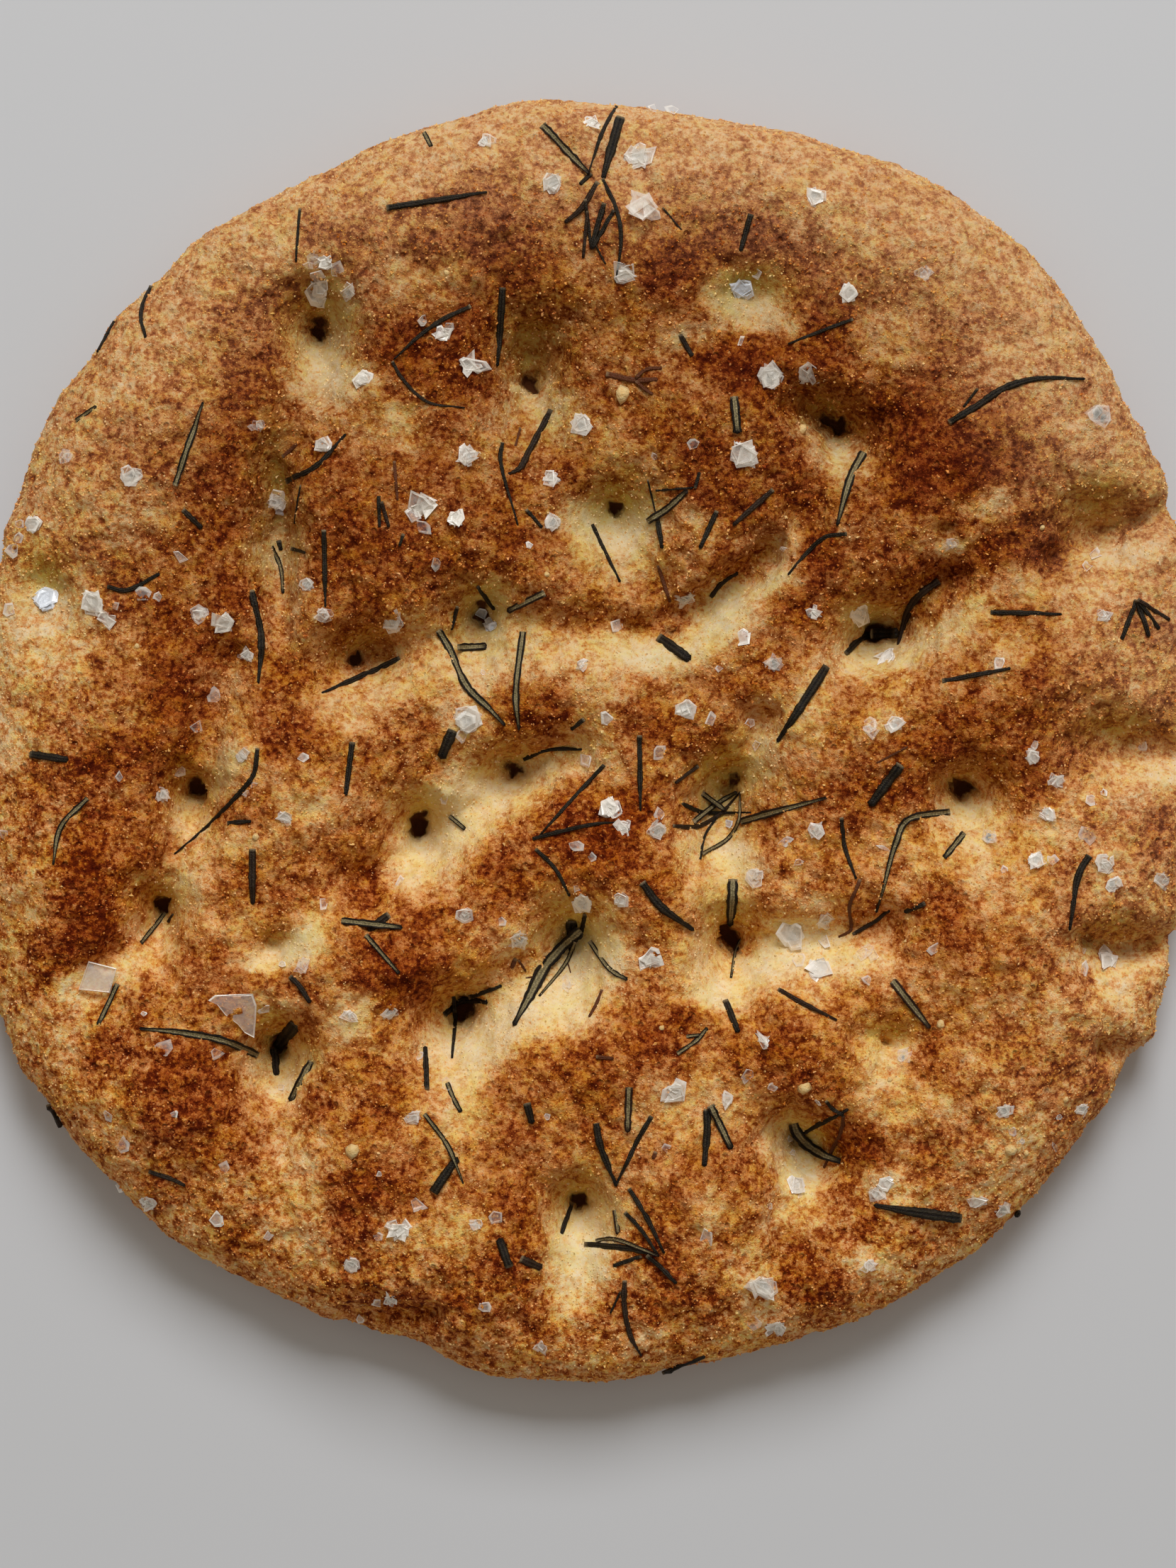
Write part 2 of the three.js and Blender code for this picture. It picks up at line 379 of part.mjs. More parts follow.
// A needle is a bent, tapered bar of diamond section, with a blunt stem end and a narrow tip.
function needleGeometry([width, ...route]) {
  const points = [];
  for (let i = 0; i < route.length; i += 2) points.push(new THREE.Vector3(route[i], route[i + 1], 0));
  const curve = new THREE.CatmullRomCurve3(points, false, "centripetal");
  const length = curve.getLength();
  const runs = Math.max(1, Math.round(length / NEEDLE_STEP));
  const ends = [];
  for (let i = 0; i <= runs; i += 1) {
    const share = i / runs;
    const middle = curve.getPointAt(share);
    const heading = curve.getTangentAt(share);
    const taper = THREE.MathUtils.lerp(NEEDLE_STEM_SHARE, NEEDLE_TIP_SHARE, share);
    const swollen = runs > 1 && i > 0 && i < runs ? 1 : taper;
    const half = (width / 2) * swollen;
    const lift = half * NEEDLE_FLATNESS * NEEDLE_RIDGE;
    const height = crustHeight(middle.x, middle.y) + NEEDLE_RISE * width;
    const sideX = -heading.y * half;
    const sideY = heading.x * half;
    ends.push([
      [middle.x + sideX, middle.y + sideY, height],
      [middle.x, middle.y, height + lift],
      [middle.x - sideX, middle.y - sideY, height],
      [middle.x, middle.y, height - lift * 2],
    ]);
  }
  const positions = ends.flat(2);
  const index = [];
  for (let i = 0; i < runs; i += 1) {
    for (let k = 0; k < 4; k += 1) {
      const a = i * 4 + k;
      const b = i * 4 + ((k + 1) % 4);
      index.push(a, b, b + 4, a, b + 4, a + 4);
    }
  }
  const last = runs * 4;
  index.push(0, 2, 1, 0, 3, 2, last, last + 1, last + 2, last, last + 2, last + 3);
  const geometry = new THREE.BufferGeometry();
  geometry.setAttribute("position", new THREE.Float32BufferAttribute(positions, 3));
  geometry.setIndex(index);
  return geometry;
}

// A salt flake is a broken plate with four or five corners, half sunk, and tilted like the crust under it.
function flakeGeometry([x, y, length, width], random) {
  const corners = random() < FOUR_CORNER_SHARE ? 4 : 5;
  const outline = new THREE.Shape();
  for (let i = 0; i < corners; i += 1) {
    const bearing = (2 * Math.PI * (i + CORNER_WANDER * (random() - 0.5))) / corners;
    const reach = CORNER_REACH + CORNER_REACH_SPREAD * random();
    const at = [length * reach * Math.cos(bearing), width * reach * Math.sin(bearing)];
    if (i === 0) outline.moveTo(...at);
    else outline.lineTo(...at);
  }
  outline.closePath();
  const geometry = new THREE.ExtrudeGeometry(outline, { depth: FLAKE_THICKNESS, bevelEnabled: false });
  const slopeX = (crustHeight(x + SLOPE_REACH, y) - crustHeight(x - SLOPE_REACH, y)) / (2 * SLOPE_REACH);
  const slopeY = (crustHeight(x, y + SLOPE_REACH) - crustHeight(x, y - SLOPE_REACH)) / (2 * SLOPE_REACH);
  const up = new THREE.Vector3(-slopeX, -slopeY, 1).normalize();
  const turn = new THREE.Quaternion().setFromUnitVectors(new THREE.Vector3(0, 0, 1), up);
  geometry.translate(0, 0, -FLAKE_THICKNESS / 2);
  geometry.rotateZ(Math.PI * random());
  geometry.applyQuaternion(turn);
  geometry.translate(x, y, crustHeight(x, y));
  return geometry;
}

// A hole is a tapered pit, wide at the crust.
function holeGeometry([x, y, halfWidth, halfLength, turn, depth]) {
  const geometry = new THREE.CylinderGeometry(HOLE_MOUTH, HOLE_FLOOR, 2 * HOLE_SCALE * depth, HOLE_SIDES, 1);
  geometry.rotateX(Math.PI / 2);
  geometry.scale(halfWidth, halfLength, 1);
  geometry.rotateZ(THREE.MathUtils.degToRad(turn));
  geometry.translate(x, y, crustHeight(x, y));
  return geometry;
}

function toSolid(geometry) {
  const bare = geometry.clone();
  bare.deleteAttribute("normal");
  bare.deleteAttribute("uv");
  const merged = mergeVertices(bare, WELD_DISTANCE);
  const vertProperties = new Float32Array(merged.attributes.position.array);
  const triVerts = new Uint32Array(merged.index.array);
  return new wasm.Manifold(new wasm.Mesh({ numProp: 3, vertProperties, triVerts }));
}

function toGeometry(solid) {
  const mesh = solid.getMesh();
  const geometry = new THREE.BufferGeometry();
  geometry.setAttribute("position", new THREE.Float32BufferAttribute(mesh.vertProperties, 3));
  geometry.setIndex(Array.from(mesh.triVerts));
  return geometry;
}

// Toppings go on from the largest to the smallest, until the loaf has as many faces as it should.
function addToppings(bread) {
  const random = randomFrom(TOPPING_SEED);
  const toppings = [
    ...NEEDLES.map((needle) => ({
      size: needle[0] * Math.hypot(needle.at(-2) - needle[1], needle.at(-1) - needle[2]),
      geometry: needleGeometry(needle),
    })),
    ...FLAKES.map((flake) => ({ size: flake[2] * flake[3], geometry: flakeGeometry(flake, random) })),
  ];
  toppings.sort((a, b) => b.size - a.size);
  let loaf = bread;
  for (const topping of toppings) {
    if (loaf.numTri() > FACE_LIMIT) break;
    loaf = loaf.add(toSolid(topping.geometry));
  }
  return loaf;
}

function makeLoaf() {
  let bread = toSolid(closedGeometry(breadRings()));
  for (const hole of HOLES) bread = bread.subtract(toSolid(holeGeometry(hole)));
  return toGeometry(addToppings(bread));
}

const crust = new THREE.MeshStandardMaterial({ color: 0xc9924f, roughness: 0.8, metalness: 0 });

const focaccia = new THREE.Mesh(makeLoaf(), crust);
focaccia.name = "focaccia";

const group = new THREE.Group();
group.add(focaccia);

export default group;
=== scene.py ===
import math
from functools import cached_property

import bpy
import numpy as np
from mathutils import Euler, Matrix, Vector, noise
from mathutils.bvhtree import BVHTree


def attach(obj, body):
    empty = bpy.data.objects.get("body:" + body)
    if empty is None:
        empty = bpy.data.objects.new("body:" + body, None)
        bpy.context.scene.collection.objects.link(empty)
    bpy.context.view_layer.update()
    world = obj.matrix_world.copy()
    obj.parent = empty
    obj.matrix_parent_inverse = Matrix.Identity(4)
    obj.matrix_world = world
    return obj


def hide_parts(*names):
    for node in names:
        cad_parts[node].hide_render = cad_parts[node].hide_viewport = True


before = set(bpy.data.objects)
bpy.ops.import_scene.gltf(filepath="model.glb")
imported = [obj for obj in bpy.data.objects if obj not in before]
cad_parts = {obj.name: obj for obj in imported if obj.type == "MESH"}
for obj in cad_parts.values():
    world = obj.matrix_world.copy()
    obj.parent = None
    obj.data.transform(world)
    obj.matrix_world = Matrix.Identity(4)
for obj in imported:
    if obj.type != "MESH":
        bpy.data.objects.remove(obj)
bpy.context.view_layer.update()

MM = 0.001

# Driving sizes of the bread
MEAN_RADIUS = 130
WAIST_HEIGHT = 9
CRUST_HEIGHT = 23
SHOULDER_START = 0.8
SHOULDER_POWER = 2.2
TUCK = 6
RIM_PINCH = 0.45
RIM_PINCH_POWER = 8
CRUST_FACE_SIZE = 0.82
SIDE_FACE_SIZE = 1.2
BASE_SHARES = [0.93, 0.84, 0.7, 0.5, 0.25]
BASE_FACE_SIZE = 8
RIM_STEPS = 1440
SHOULDER_STEPS = 40000
MOST_OVERLAP = 0.4
MOUND_SCALE = 1.9
BOWL_SCALE = 2.7
CREASE_SCALE = 3.2
HOLE_SCALE = 0.75
NEAR_REACH = 1.45
FAR_REACH = 0.8
# Slow waves of the dough: height, radians for each millimetre along x and along y, and the first angle.
SWELLS = [
    (0.5, 0.083, 0.041, 1.3),
    (0.45, -0.052, 0.097, 4.1),
    (0.3, 0.131, -0.087, 2.2),
    (0.25, 0.109, 0.143, 5.6),
]

# The rim seen from above, clockwise from the far end.
RIM = [
    (-13, 136.2), (10, 134.6), (30, 132), (47, 129), (62, 123.6), (77, 117), (90, 107), (100, 96.5),
    (108, 84.5), (115, 70), (121.5, 57), (126.5, 42), (129, 24), (129.9, 5), (128.8, -15), (126.6, -31),
    (123.8, -46), (121, -57.5), (119.5, -63.5), (113.4, -69.3), (110.6, -75.5), (105.6, -81.7),
    (98.3, -92.2), (90.2, -100.6), (82, -107.6), (71, -115), (57.7, -121.8), (41, -127.3), (24.5, -132),
    (9, -135.2), (-8, -136.2), (-20, -134.8), (-29.4, -131.6), (-37.8, -127.2), (-48, -124.6),
    (-60, -120.4), (-74, -114), (-88.9, -105), (-98.5, -96.6), (-105.6, -89.6), (-112.3, -81.6),
    (-120, -69.9), (-124.7, -59.6), (-127.8, -45), (-129.5, -28), (-129.9, -8), (-129.2, 12),
    (-127.4, 30), (-124.2, 43), (-121, 53), (-116.4, 66.6), (-107.5, 80), (-99.5, 91), (-90, 100.4),
    (-80, 109), (-70, 115), (-60, 119.6), (-50, 124.4), (-40, 128.8), (-28, 132.6),
]

# Oval marks in the crust: x, y, reach across, reach along, and an amount; last comes the turn in
# degrees where there is one. In these mounds between the dimples the amount is a height.
MOUNDS = [
    (-30, 108, 24, 12, 2), (-42, 46, 18, 19, 2.6), (-90, 62, 17, 15, 1.6), (12, 102, 14, 14, 1.6),
    (20, 66, 15, 13, 2), (82, 58, 23, 17, 2.6, 20), (92, 12, 19, 12, 2.6, 10), (-102, 2, 15, 14, 1.4),
    (-60, -6, 13, 14, 1.7), (-108, -32, 13, 14, 1.6), (56, 2, 13, 14, 1.5), (10, -30, 13, 10, 1.6),
    (-50, -46, 17, 11, 2.2, 15), (-86, -76, 17, 15, 2), (-45, -88, 17, 14, 2.2), (6, -68, 19, 10, 2.2),
    (86, -40, 18, 15, 2), (86, -76, 17, 15, 1.6), (22, -96, 15, 14, 2.2), (36, -115, 20, 10, 1.2),
    (-32, -112, 22, 12, 1.6), (62, 108, 22, 13, 1.2, -25), (-5, 12, 16, 8, 1.4), (44, -64, 14, 10, 1.8),
]

# Bowls pressed by fingertips, as oval marks with a depth.
BOWLS = [
    (-57.5, 88, 7.5, 10, 5), (-12.5, 80, 7.5, 12, 5.8), (34, 94, 8, 6, 2.4), (51, 68, 12, 6, 5.4, -25),
    (5, 48, 9, 8, 3.2), (-66, 46, 4.5, 18, 5.2), (-115, 32, 7, 8, 2.4), (-23.5, 27, 7, 8, 5),
    (-48, 19, 11, 6, 4.6, 15), (62, 24.5, 11, 7.5, 5.8, 15), (108, 46, 11, 9, 4, 15),
    (-84, -11, 6.5, 8, 4.8), (-91.5, -36, 5.5, 9, 4.8), (-16.5, -5.5, 11, 6, 4.6, 12),
    (-36, -17.5, 6.5, 8, 4.6, 10), (28, -12, 9, 13, 6.2, -15), (80, -9.5, 7.5, 7, 4.8),
    (112, 0, 12, 7, 2.4), (30, -41, 7.5, 9, 5.2), (111, -43, 10, 6, 3.2), (-4, -42, 7.5, 10, 5, -20),
    (-27.5, -56.5, 8, 7, 5.2, 25), (-66.5, -66, 7.5, 9, 5.2), (62.7, -62.5, 7, 5, 2.2),
    (46, -85, 11, 7, 5.4, -35), (-2.5, -98, 7, 8, 3.8), (-66.5, -42.5, 5, 4, 1.6),
]

# Folds and troughs in the crust: start x, y, end x, y, depth, half width.
CREASES = [
    (38, 41, 34.5, 36.5, 2.6, 4), (34.5, 36.5, 24.5, 29.8, 3, 4), (24.5, 29.8, 10, 24, 2.6, 4.5),
    (10, 24, -14, 25, 1.6, 6), (55, 18, 75, 35, 2.4, 4.5), (98, 39, 108, 45, 2.4, 3.5),
    (108, 45, 130, 52, 3.4, 3.2), (-46, -29, -5, -1, 2.4, 6), (30, -12, 36, 5, 2.2, 4),
    (115, -1, 131, -3, 2, 4), (31, -43, 62, -39, 2.4, 6), (105, -41.5, 112, -44, 3, 3),
    (112, -44, 131, -41, 3.6, 3.2), (-4, -42, -32, -60, 2.2, 7), (-28, -58, -29, -66, 2, 3.5),
    (-3, -99, -4, -113, 1.8, 7), (-66, -68, -66, -80, 1.6, 6), (109, -64.5, 121, -66.5, 2.4, 2.6),
    (-52, -121.4, -33, -120, 1.8, 2.6), (-76, 18, -83, -8, 1.8, 5), (-84, -12, -91, -34, 1.9, 5),
    (-92, -38, -104, -50, 1.8, 5), (-57, 84, -65, 58, 1.4, 6), (53, 64, 45, 46, 1.4, 5),
    (6, 46, 15, 30, 1.5, 6), (-46, 18, -26, 24, 1.5, 5), (30, -14, 30, -38, 1.6, 6),
    (44, -88, 42, -103, 1.4, 6),
]

# Deep holes at the bottom of the bowls, as oval marks with a depth.
HOLES = [
    (-58, 88, 2.2, 2.8, 6, 20), (-12.6, 76.8, 2.4, 2.2, 6), (52.6, 67.4, 4.4, 1.8, 6, -35),
    (5.5, 50.1, 1.7, 1.7, 5), (-22.5, 27.5, 2.5, 3, 5), (-49.9, 17.8, 2, 1.8, 5),
    (61.8, 23.3, 4, 2.2, 5, 5), (17.5, 22.8, 2, 1.5, 3, -20), (-83.3, -9.9, 2.2, 2.7, 6, 10),
    (-91.6, -34.9, 1.8, 2.4, 5), (-16.7, -6.1, 2.6, 2.2, 6, 30), (-36.2, -17.3, 2, 3.2, 6, -25),
    (30.8, -8.2, 1.7, 2.8, 4, -25), (79.3, -9.6, 2.4, 2.3, 6), (29.9, -41.5, 1.9, 3.4, 6),
    (-27.3, -57.3, 2.5, 3.2, 6, -20), (-66.3, -64.8, 2.2, 2.8, 6), (62.7, -63.6, 2, 1.4, 3),
    (43.5, -84, 2, 2.2, 3), (-2.3, -97.6, 2.3, 2, 6), (74, 43.9, 3, 2, 2), (-66.5, -42.5, 2.6, 2.2, 2),
]

# How the crust browned, patch by patch, as oval marks with a browning from 0 to 1.
BAKED = [
    (-23, 109, 7, 6, .76), (-16, 98, 5, 5, .74), (-10, 94, 4, 5, .66, -60), (-32, 103, 8, 3, .62, 15),
    (-56, 107, 4, 3, .62, -30), (-49, 106, 7, 5, .52), (-60, 91, 3, 5, .72, 30), (-70, 90, 6, 3, .6, 5),
    (-39, 82, 5, 6, .86), (-30, 80, 7, 5, .78), (-26, 75, 5, 3, .82), (-26, 88, 3, 3, .7),
    (-36, 91, 4, 3, .6), (-39, 74, 3, 3, .64), (-70, 77, 4, 7, .62), (-74, 66, 4, 6, .7),
    (-76, 58, 4, 5, .75), (-76, 51, 5, 5, .7), (-80, 44, 6, 3, .72), (-89, 42, 5, 4, .6),
    (-84, 54, 4, 3, .56), (-65, 64, 5, 4, .58), (-91, 58, 3, 3, .6), (-98, 60, 5, 3, .5),
    (-53, 57, 7, 4, .62, 15), (-36, 56, 6, 3, .65), (-42, 52, 3, 4, .6), (-51, 44, 5, 6, .82),
    (-49, 32, 6, 9, .74), (-36, 36, 7, 5, .7), (-29, 36, 5, 6, .68), (-37, 43, 4, 3, .64, -20),
    (-55, 37, 4, 8, .6), (-48, 21, 3, 3, .6), (-17, 42, 4, 6, .73), (-16, 53, 3, 6, .62, 10),
    (-24, 46, 4, 5, .6), (-5, 57, 4, 4, .6), (-29, 68, 3, 4, .58), (0, 76, 4, 6, .57),
    (-87, 11, 5, 9, .92), (-88, 26, 4, 5, .66), (-79, 20, 6, 3.5, .73, -25), (-74, 31, 4, 4, .8),
    (-80, 36, 3, 3, .6), (-83, 14, 5, 5, .68), (-97, 31, 3, 3, .6), (-101, 20, 4, 5, .52),
    (-105, 41, 6, 3, .52), (-62, 14, 6, 4, .67, 15), (-64, 3, 6, 4, .69), (-10, 7, 5, 4, .7),
    (-17, 4, 2.5, 4, .6), (-37, 2, 6, 3, .6, 20), (-116, 6, 4, 5, .53), (-14, 83, 5, 7, .5),
    (-6, 125, 4, 2, .5, -50), (18, 98, 6, 4, .9, 20), (26, 102, 5, 4, .73, 20),
    (33, 106, 5, 3.5, .82, 10), (18, 91, 5, 3, .6), (41, 100, 4, 7, .62, 30), (47, 93, 5, 4, .67),
    (51, 86, 4, 4, .87), (45, 82, 7, 3, .8, 10), (51, 77, 4, 6, .75), (31, 78, 8, 4, .9, -15),
    (36, 76, 4, 4, .78), (38, 82, 5, 3, .74), (44, 71, 5, 3, .84), (50, 69, 4, 4, .72),
    (58, 73, 5, 5, .62), (66, 69, 6, 5, .92, -20), (73, 65, 6, 6, .76), (75, 57, 8, 3.5, .95, 10),
    (68, 52, 4, 4, .85), (82, 67, 6, 5, .65), (72, 75, 5, 4, .66), (87, 61, 4, 5, .62),
    (75, 80, 5, 4, .55), (21, 65, 7, 5, .75), (25, 61, 4, 3, .74), (24, 53, 4, 3, .69),
    (31, 52, 3, 4, .69), (37, 48, 6, 3.5, .69), (45, 52, 5, 4, .73, -20), (41, 58, 4, 5, .69, 20),
    (40, 64, 3, 3, .58), (48, 39, 4, 4, .8, 40), (43, 28, 4, 2.5, .76, 15), (57, 35, 6, 5, .58),
    (65, 34, 6, 5, .71), (71, 36, 4, 4, .65), (72, 30, 6, 3, .6, 15), (64, 26, 4, 3, .56),
    (86, 40, 8, 3, .88, 10), (96, 41, 5, 5, .9), (77, 37, 6, 2.5, .71), (93, 47, 4, 4, .66),
    (79, 45, 5, 2, .6), (113, 50, 4, 3, .63), (105, 49, 7, 4, .52), (119, 24, 4, 4, .58, -45),
    (30, 10, 4, 5, .6), (36, 13, 3, 3, .58), (12, 3, 5, 4, .69), (22, 1, 6, 3, .71),
    (86, 4, 10, 5, .6, 20), (92, 9, 5, 6, .66), (72, 2, 7, 4, .68, 15), (121, 6, 6, 4, .62),
    (4, 108, 3, 3, .6), (23, 116, 5, 2.5, .5, 10), (31, 38, 6, 2.5, .6, 15), (17, 25, 3, 2, .58, 30),
    (3, 27, 4, 3, .5), (56, 47, 4, 3, .58), (6, 85, 6, 8, .53), (7, 60, 6, 6, .5), (-96, -3, 8, 4, .82),
    (-109, -7, 6, 3, .77, 15), (-118, -7, 5, 3, .62), (-119, -13, 3, 3, .6), (-103, -18, 5, 5, .73),
    (-105, -27, 5, 6, .9), (-105, -38, 5, 6, .95), (-109, -43, 7, 3, .9, 20), (-95, -24, 5, 6, .62),
    (-115, -48, 5, 3, .66, 40), (-119, -22, 4, 5, .58), (-71, -15, 4, 3, .6, 15), (-67, -31, 4, 4, .6),
    (-76, -32, 2.5, 3, .58), (-66, -1, 4, 2, .66), (-56, -2, 3, 3, .58), (-51, -20, 5, 3, .56),
    (-49, -30, 3, 4, .7), (-38, -4, 4, 5, .57), (-42, -9, 4, 2, .55), (-18, -28, 5, 5, .73, 20),
    (-11, -25, 5, 3, .6, 20), (-6, -20, 4, 2.5, .68), (-79, -45, 5, 5, .6), (-38, -46, 5, 5, .88, 30),
    (-35, -40, 4, 5, .66), (-45, -48, 5, 4, .73), (-41, -51, 4, 3, .78), (-60, -52, 4, 3, .6),
    (-70, -50, 4, 1.5, .6, -15), (-66, -60, 4, 5, .56), (-88, -57, 8, 3, .58), (-100, -64, 5, 3, .7, 25),
    (-88, -73, 9, 7, .77), (-79, -76, 4, 7, .81), (-76, -85, 5, 4, .58), (-88, -84, 6, 5, .7),
    (-86, -69, 4, 3, .8), (-88, -94, 5, 4, .57), (-73, -104, 3, 3, .6), (-57, -77, 5, 4, .6),
    (-45, -78, 4, 3.5, .7), (-48, -93, 6, 3, .86, 10), (-41, -93, 4, 3, .7), (-49, -100, 4.5, 6, .74),
    (-48, -114, 6, 4, .6), (-40, -120, 6, 3, .75, 15), (-26, -119, 4, 4, .65), (-16, -97, 3, 6, .71),
    (-17, -108, 4.5, 5, .73), (-14, -117, 3.5, 7, .75, 25), (-16, -84, 4, 4, .58), (-12, -72, 5, 3, .6),
    (-2, -75, 4, 7, .64), (2, -19.5, 5, 3, .9), (3, -25, 7, 4, .75), (12, -31, 4, 3, .58),
    (12, -21, 4, 3, .58), (9, -13.5, 3, 3.5, .82), (74, -1, 9, 3.5, .73, 5), (86, -2, 7, 4, .73, 20),
    (67, -11, 4, 5, .69, 40), (93, -9, 3, 4, .71), (98, -3, 5, 3, .6), (56, -13, 4, 5, .65, -20),
    (49, -13, 5, 2, .56), (75.5, -37, 2.5, 5, .95, 25), (75, -38, 5, 8, .6, 20), (56, -34, 4, 3, .58, 30),
    (89, -46, 5, 6, .58), (81, -37, 9, 3, .5), (120, -19, 4, 6, .64), (111, -39, 7, 3.5, .6, -15),
    (14, -63, 7, 3.5, .71, 15), (9, -57, 4, 4, .6), (1, -69, 5, 4, .72), (32, -65, 4, 2.5, .66),
    (41, -66, 5, 5, .73, -30), (42, -74, 4, 4, .62), (50, -73, 3, 2.5, .58), (55, -85, 5, 3.5, .9, -35),
    (51, -80, 4, 4, .65), (66, -86, 7, 3, .6), (30, -90, 6, 5, .56), (20, -91, 3, 3, .56),
    (16, -98, 4, 5, .62), (17, -105, 4, 7, .75), (19, -117, 6, 4, .77), (29, -118, 4, 4, .6),
    (9, -119, 6, 4, .6, 15), (46, -114, 6, 4, .74, -10), (43, -107, 6, 3, .6), (55, -100, 4, 6, .62),
    (75, -102, 6, 3, .52, 10), (32, -41, 4, 3, .6, 20), (88, -67, 5, 5, .53), (72, -65, 3, 5, .54),
    (100, -70, 7, 10, .62), (-30, 107, 7, 5, .86), (-70, 75, 5, 6, .68), (80, 60, 8, 7, 1),
    (-85, -75, 6, 6, .86), (-118, 10, 5, 7, .3), (21, -100, 5, 5, .26), (1, 11, 5, 4, .34),
    (62, 62, 8, 6, .86), (42, 60, 6, 6, .76), (40, 80, 6, 6, .84), (-2, -17, 7, 6, .76),
    (-40, -99, 5, 5, .66),
]

# And the patches that stayed pale, mostly in the dimples and folds, listed the same way.
UNBAKED = [
    (-57, 82, 4, 5, .07), (-51, 76, 7, 3, .15), (-53, 89, 3, 4, .2), (-60, 75, 6, 4, .24),
    (-12, 73, 7, 4, .15, -10), (-40, 67, 5, 4, .3, 20), (-66, 39, 5, 4, .21), (-63, 32, 4, 4, .3),
    (-115, 28, 7, 6, .13), (-112, 17, 5, 7, .27), (-122, 24, 4, 6, .22), (-21, 22, 4, 7, .07),
    (-27, 17, 6, 5, .19), (-14, 20, 4, 5, .23), (-24, 29, 4, 3, .2), (-46, 12, 9, 4, .24, 15),
    (-34, 17, 6, 5, .26), (-50, 6, 5, 4, .3), (-27, 5, 4, 4, .25), (-3, 17, 6, 4, .22),
    (-4, 67, 5, 3, .3), (-36, 98, 8, 3, .33, 5), (-33, 108, 5, 2.5, .3, 10), (-97, 48, 8, 4, .31),
    (-76, 12, 4, 4, .38), (-65, 27, 5, 5, .41), (31, 94, 5, 4, .07), (34, 91, 7, 3, .17),
    (21, 86, 4, 2, .28), (43, 88, 3, 2, .25), (62, 85, 6, 6, .3), (54, 60, 6, 4, .05),
    (50, 63, 7, 4, .19, -15), (45, 67, 4, 2, .3), (6, 43, 6, 6, .07), (1, 46, 5, 4, .11),
    (10, 47, 4, 4, .13), (28, 26, 4, 7, .04, -40), (14, 18.5, 8, 3, .04), (37, 33, 5, 3, .15, 30),
    (6, 20, 5, 3, .18), (57, 27, 3, 3, .22), (61, 18, 7, 3, .07, 5), (72, 22, 6, 3, .19, 30),
    (78, 26, 4, 2.5, .24, 30), (92, 33, 8, 3, .29, 5), (106, 33, 9, 4, .29), (112, 39.5, 8, 2.5, .13),
    (83, 50, 5, 2.5, .26, -10), (76, 41, 3, 2, .27), (87, 18, 2.5, 3, .3, -40), (48, 12, 3, 6, .28, -20),
    (44, 5, 4, 4, .33), (35, 2, 4, 5, .28), (42, 44, 2.5, 5, .32), (62, 4, 3, 2, .3),
    (-85, -17, 4, 4, .17), (-78, -8, 4, 3, .25), (-74, -3, 4, 3, .23), (-76, -21, 3, 2, .3),
    (-86, -31, 4, 6, .21), (-97, -47, 7, 3, .17, 25), (-106, -51, 5, 3, .16), (-93, -38, 5, 4, .3),
    (-66, -45, 6, 2.5, .09, 10), (-61, -42, 3, 5, .07, -35), (-60, -15, 7, 3, .27, 10),
    (-20, -11, 7, 4, .07, 5), (-28, -12, 6, 6, .08), (-11, -7, 6, 3, .17, 25), (-35, -22, 5, 4, .05, 30),
    (-37, -27, 5, 4, .16), (-29, -19, 6, 6, .08), (-68, -57, 4, 3, .28), (-65, -73, 4, 3, .07),
    (-65, -68, 6, 3, .17, 20), (-62, -83, 4, 6, .3), (-60, -94, 6, 7, .3), (-50, -58, 4, 4, .24),
    (-27, -66, 5, 5, .05, 40), (-19, -60, 7, 4, .05, 35), (-8, -55, 8, 5, .04), (-3, -48, 4, 6, .05),
    (-32, -66, 4, 5, .19), (-28, -76, 4, 6, .27), (-40, -102, 4, 3, .25), (-23, -100, 6, 2.5, .32, 10),
    (-3, -107, 5, 7, .03), (-4, -115, 5, 4, .15), (36, -1, 2.5, 4, .22), (34, -7, 2.5, 3, .24),
    (28, -13, 4, 3, .21), (30, -25, 5, 4, .05, -20), (21, -22, 4, 3, .23), (26, -31, 6, 4, .28),
    (45, -43, 8, 6, .02), (35, -48, 6, 4, .04, 15), (27, -53, 4, 3, .07), (24, -45, 4, 6, .19),
    (55, -46, 6, 3, .15), (2, -45, 4, 6, .05), (80, -16, 5, 4, .07), (81, -24, 5, 6, .23),
    (66, -25, 5, 6, .32), (118, -7, 9, 3, .19), (110, -12, 8, 2.5, .3), (97, -20, 5, 6, .3),
    (109, -26, 3, 5, .32), (111, -50, 4, 6, .17, -20), (118, -46, 5, 3, .23), (104, -46, 4, 2, .3),
    (61, -68, 4, 4, .21), (63, -75, 6, 4, .27), (72, -76, 4, 2.5, .3), (66, -64, 4, 2, .3),
    (22, -76, 8, 5, .29), (45, -92, 4, 4, .03), (43, -85, 5, 4, .15), (43, -99, 6, 3, .28),
    (59, -110, 5, 2.5, .22, -10), (61, -95, 4, 3, .27), (4, -98, 4, 4, .19, 20), (0, -106, 3.5, 7, .07),
    (35, -115, 3.5, 5, .26, 15), (90, -85, 4, 4, .3), (-13, -43, 4, 3, .3), (0, -1, 8, 5, .22),
    (-120, -1, 5, 6, .3), (-62, -104, 6, 5, .34), (88, -36, 6, 6, .36), (84, -58, 7, 6, .36),
    (100, -58, 5, 6, .36), (-19, 62, 6, 6, .36), (84, 80, 6, 6, .36), (-102, 44, 6, 6, .36),
    (20, 42, 5, 5, .4), (-77, -38, 6, 6, .34), (98, 80, 7, 9, .36),
]

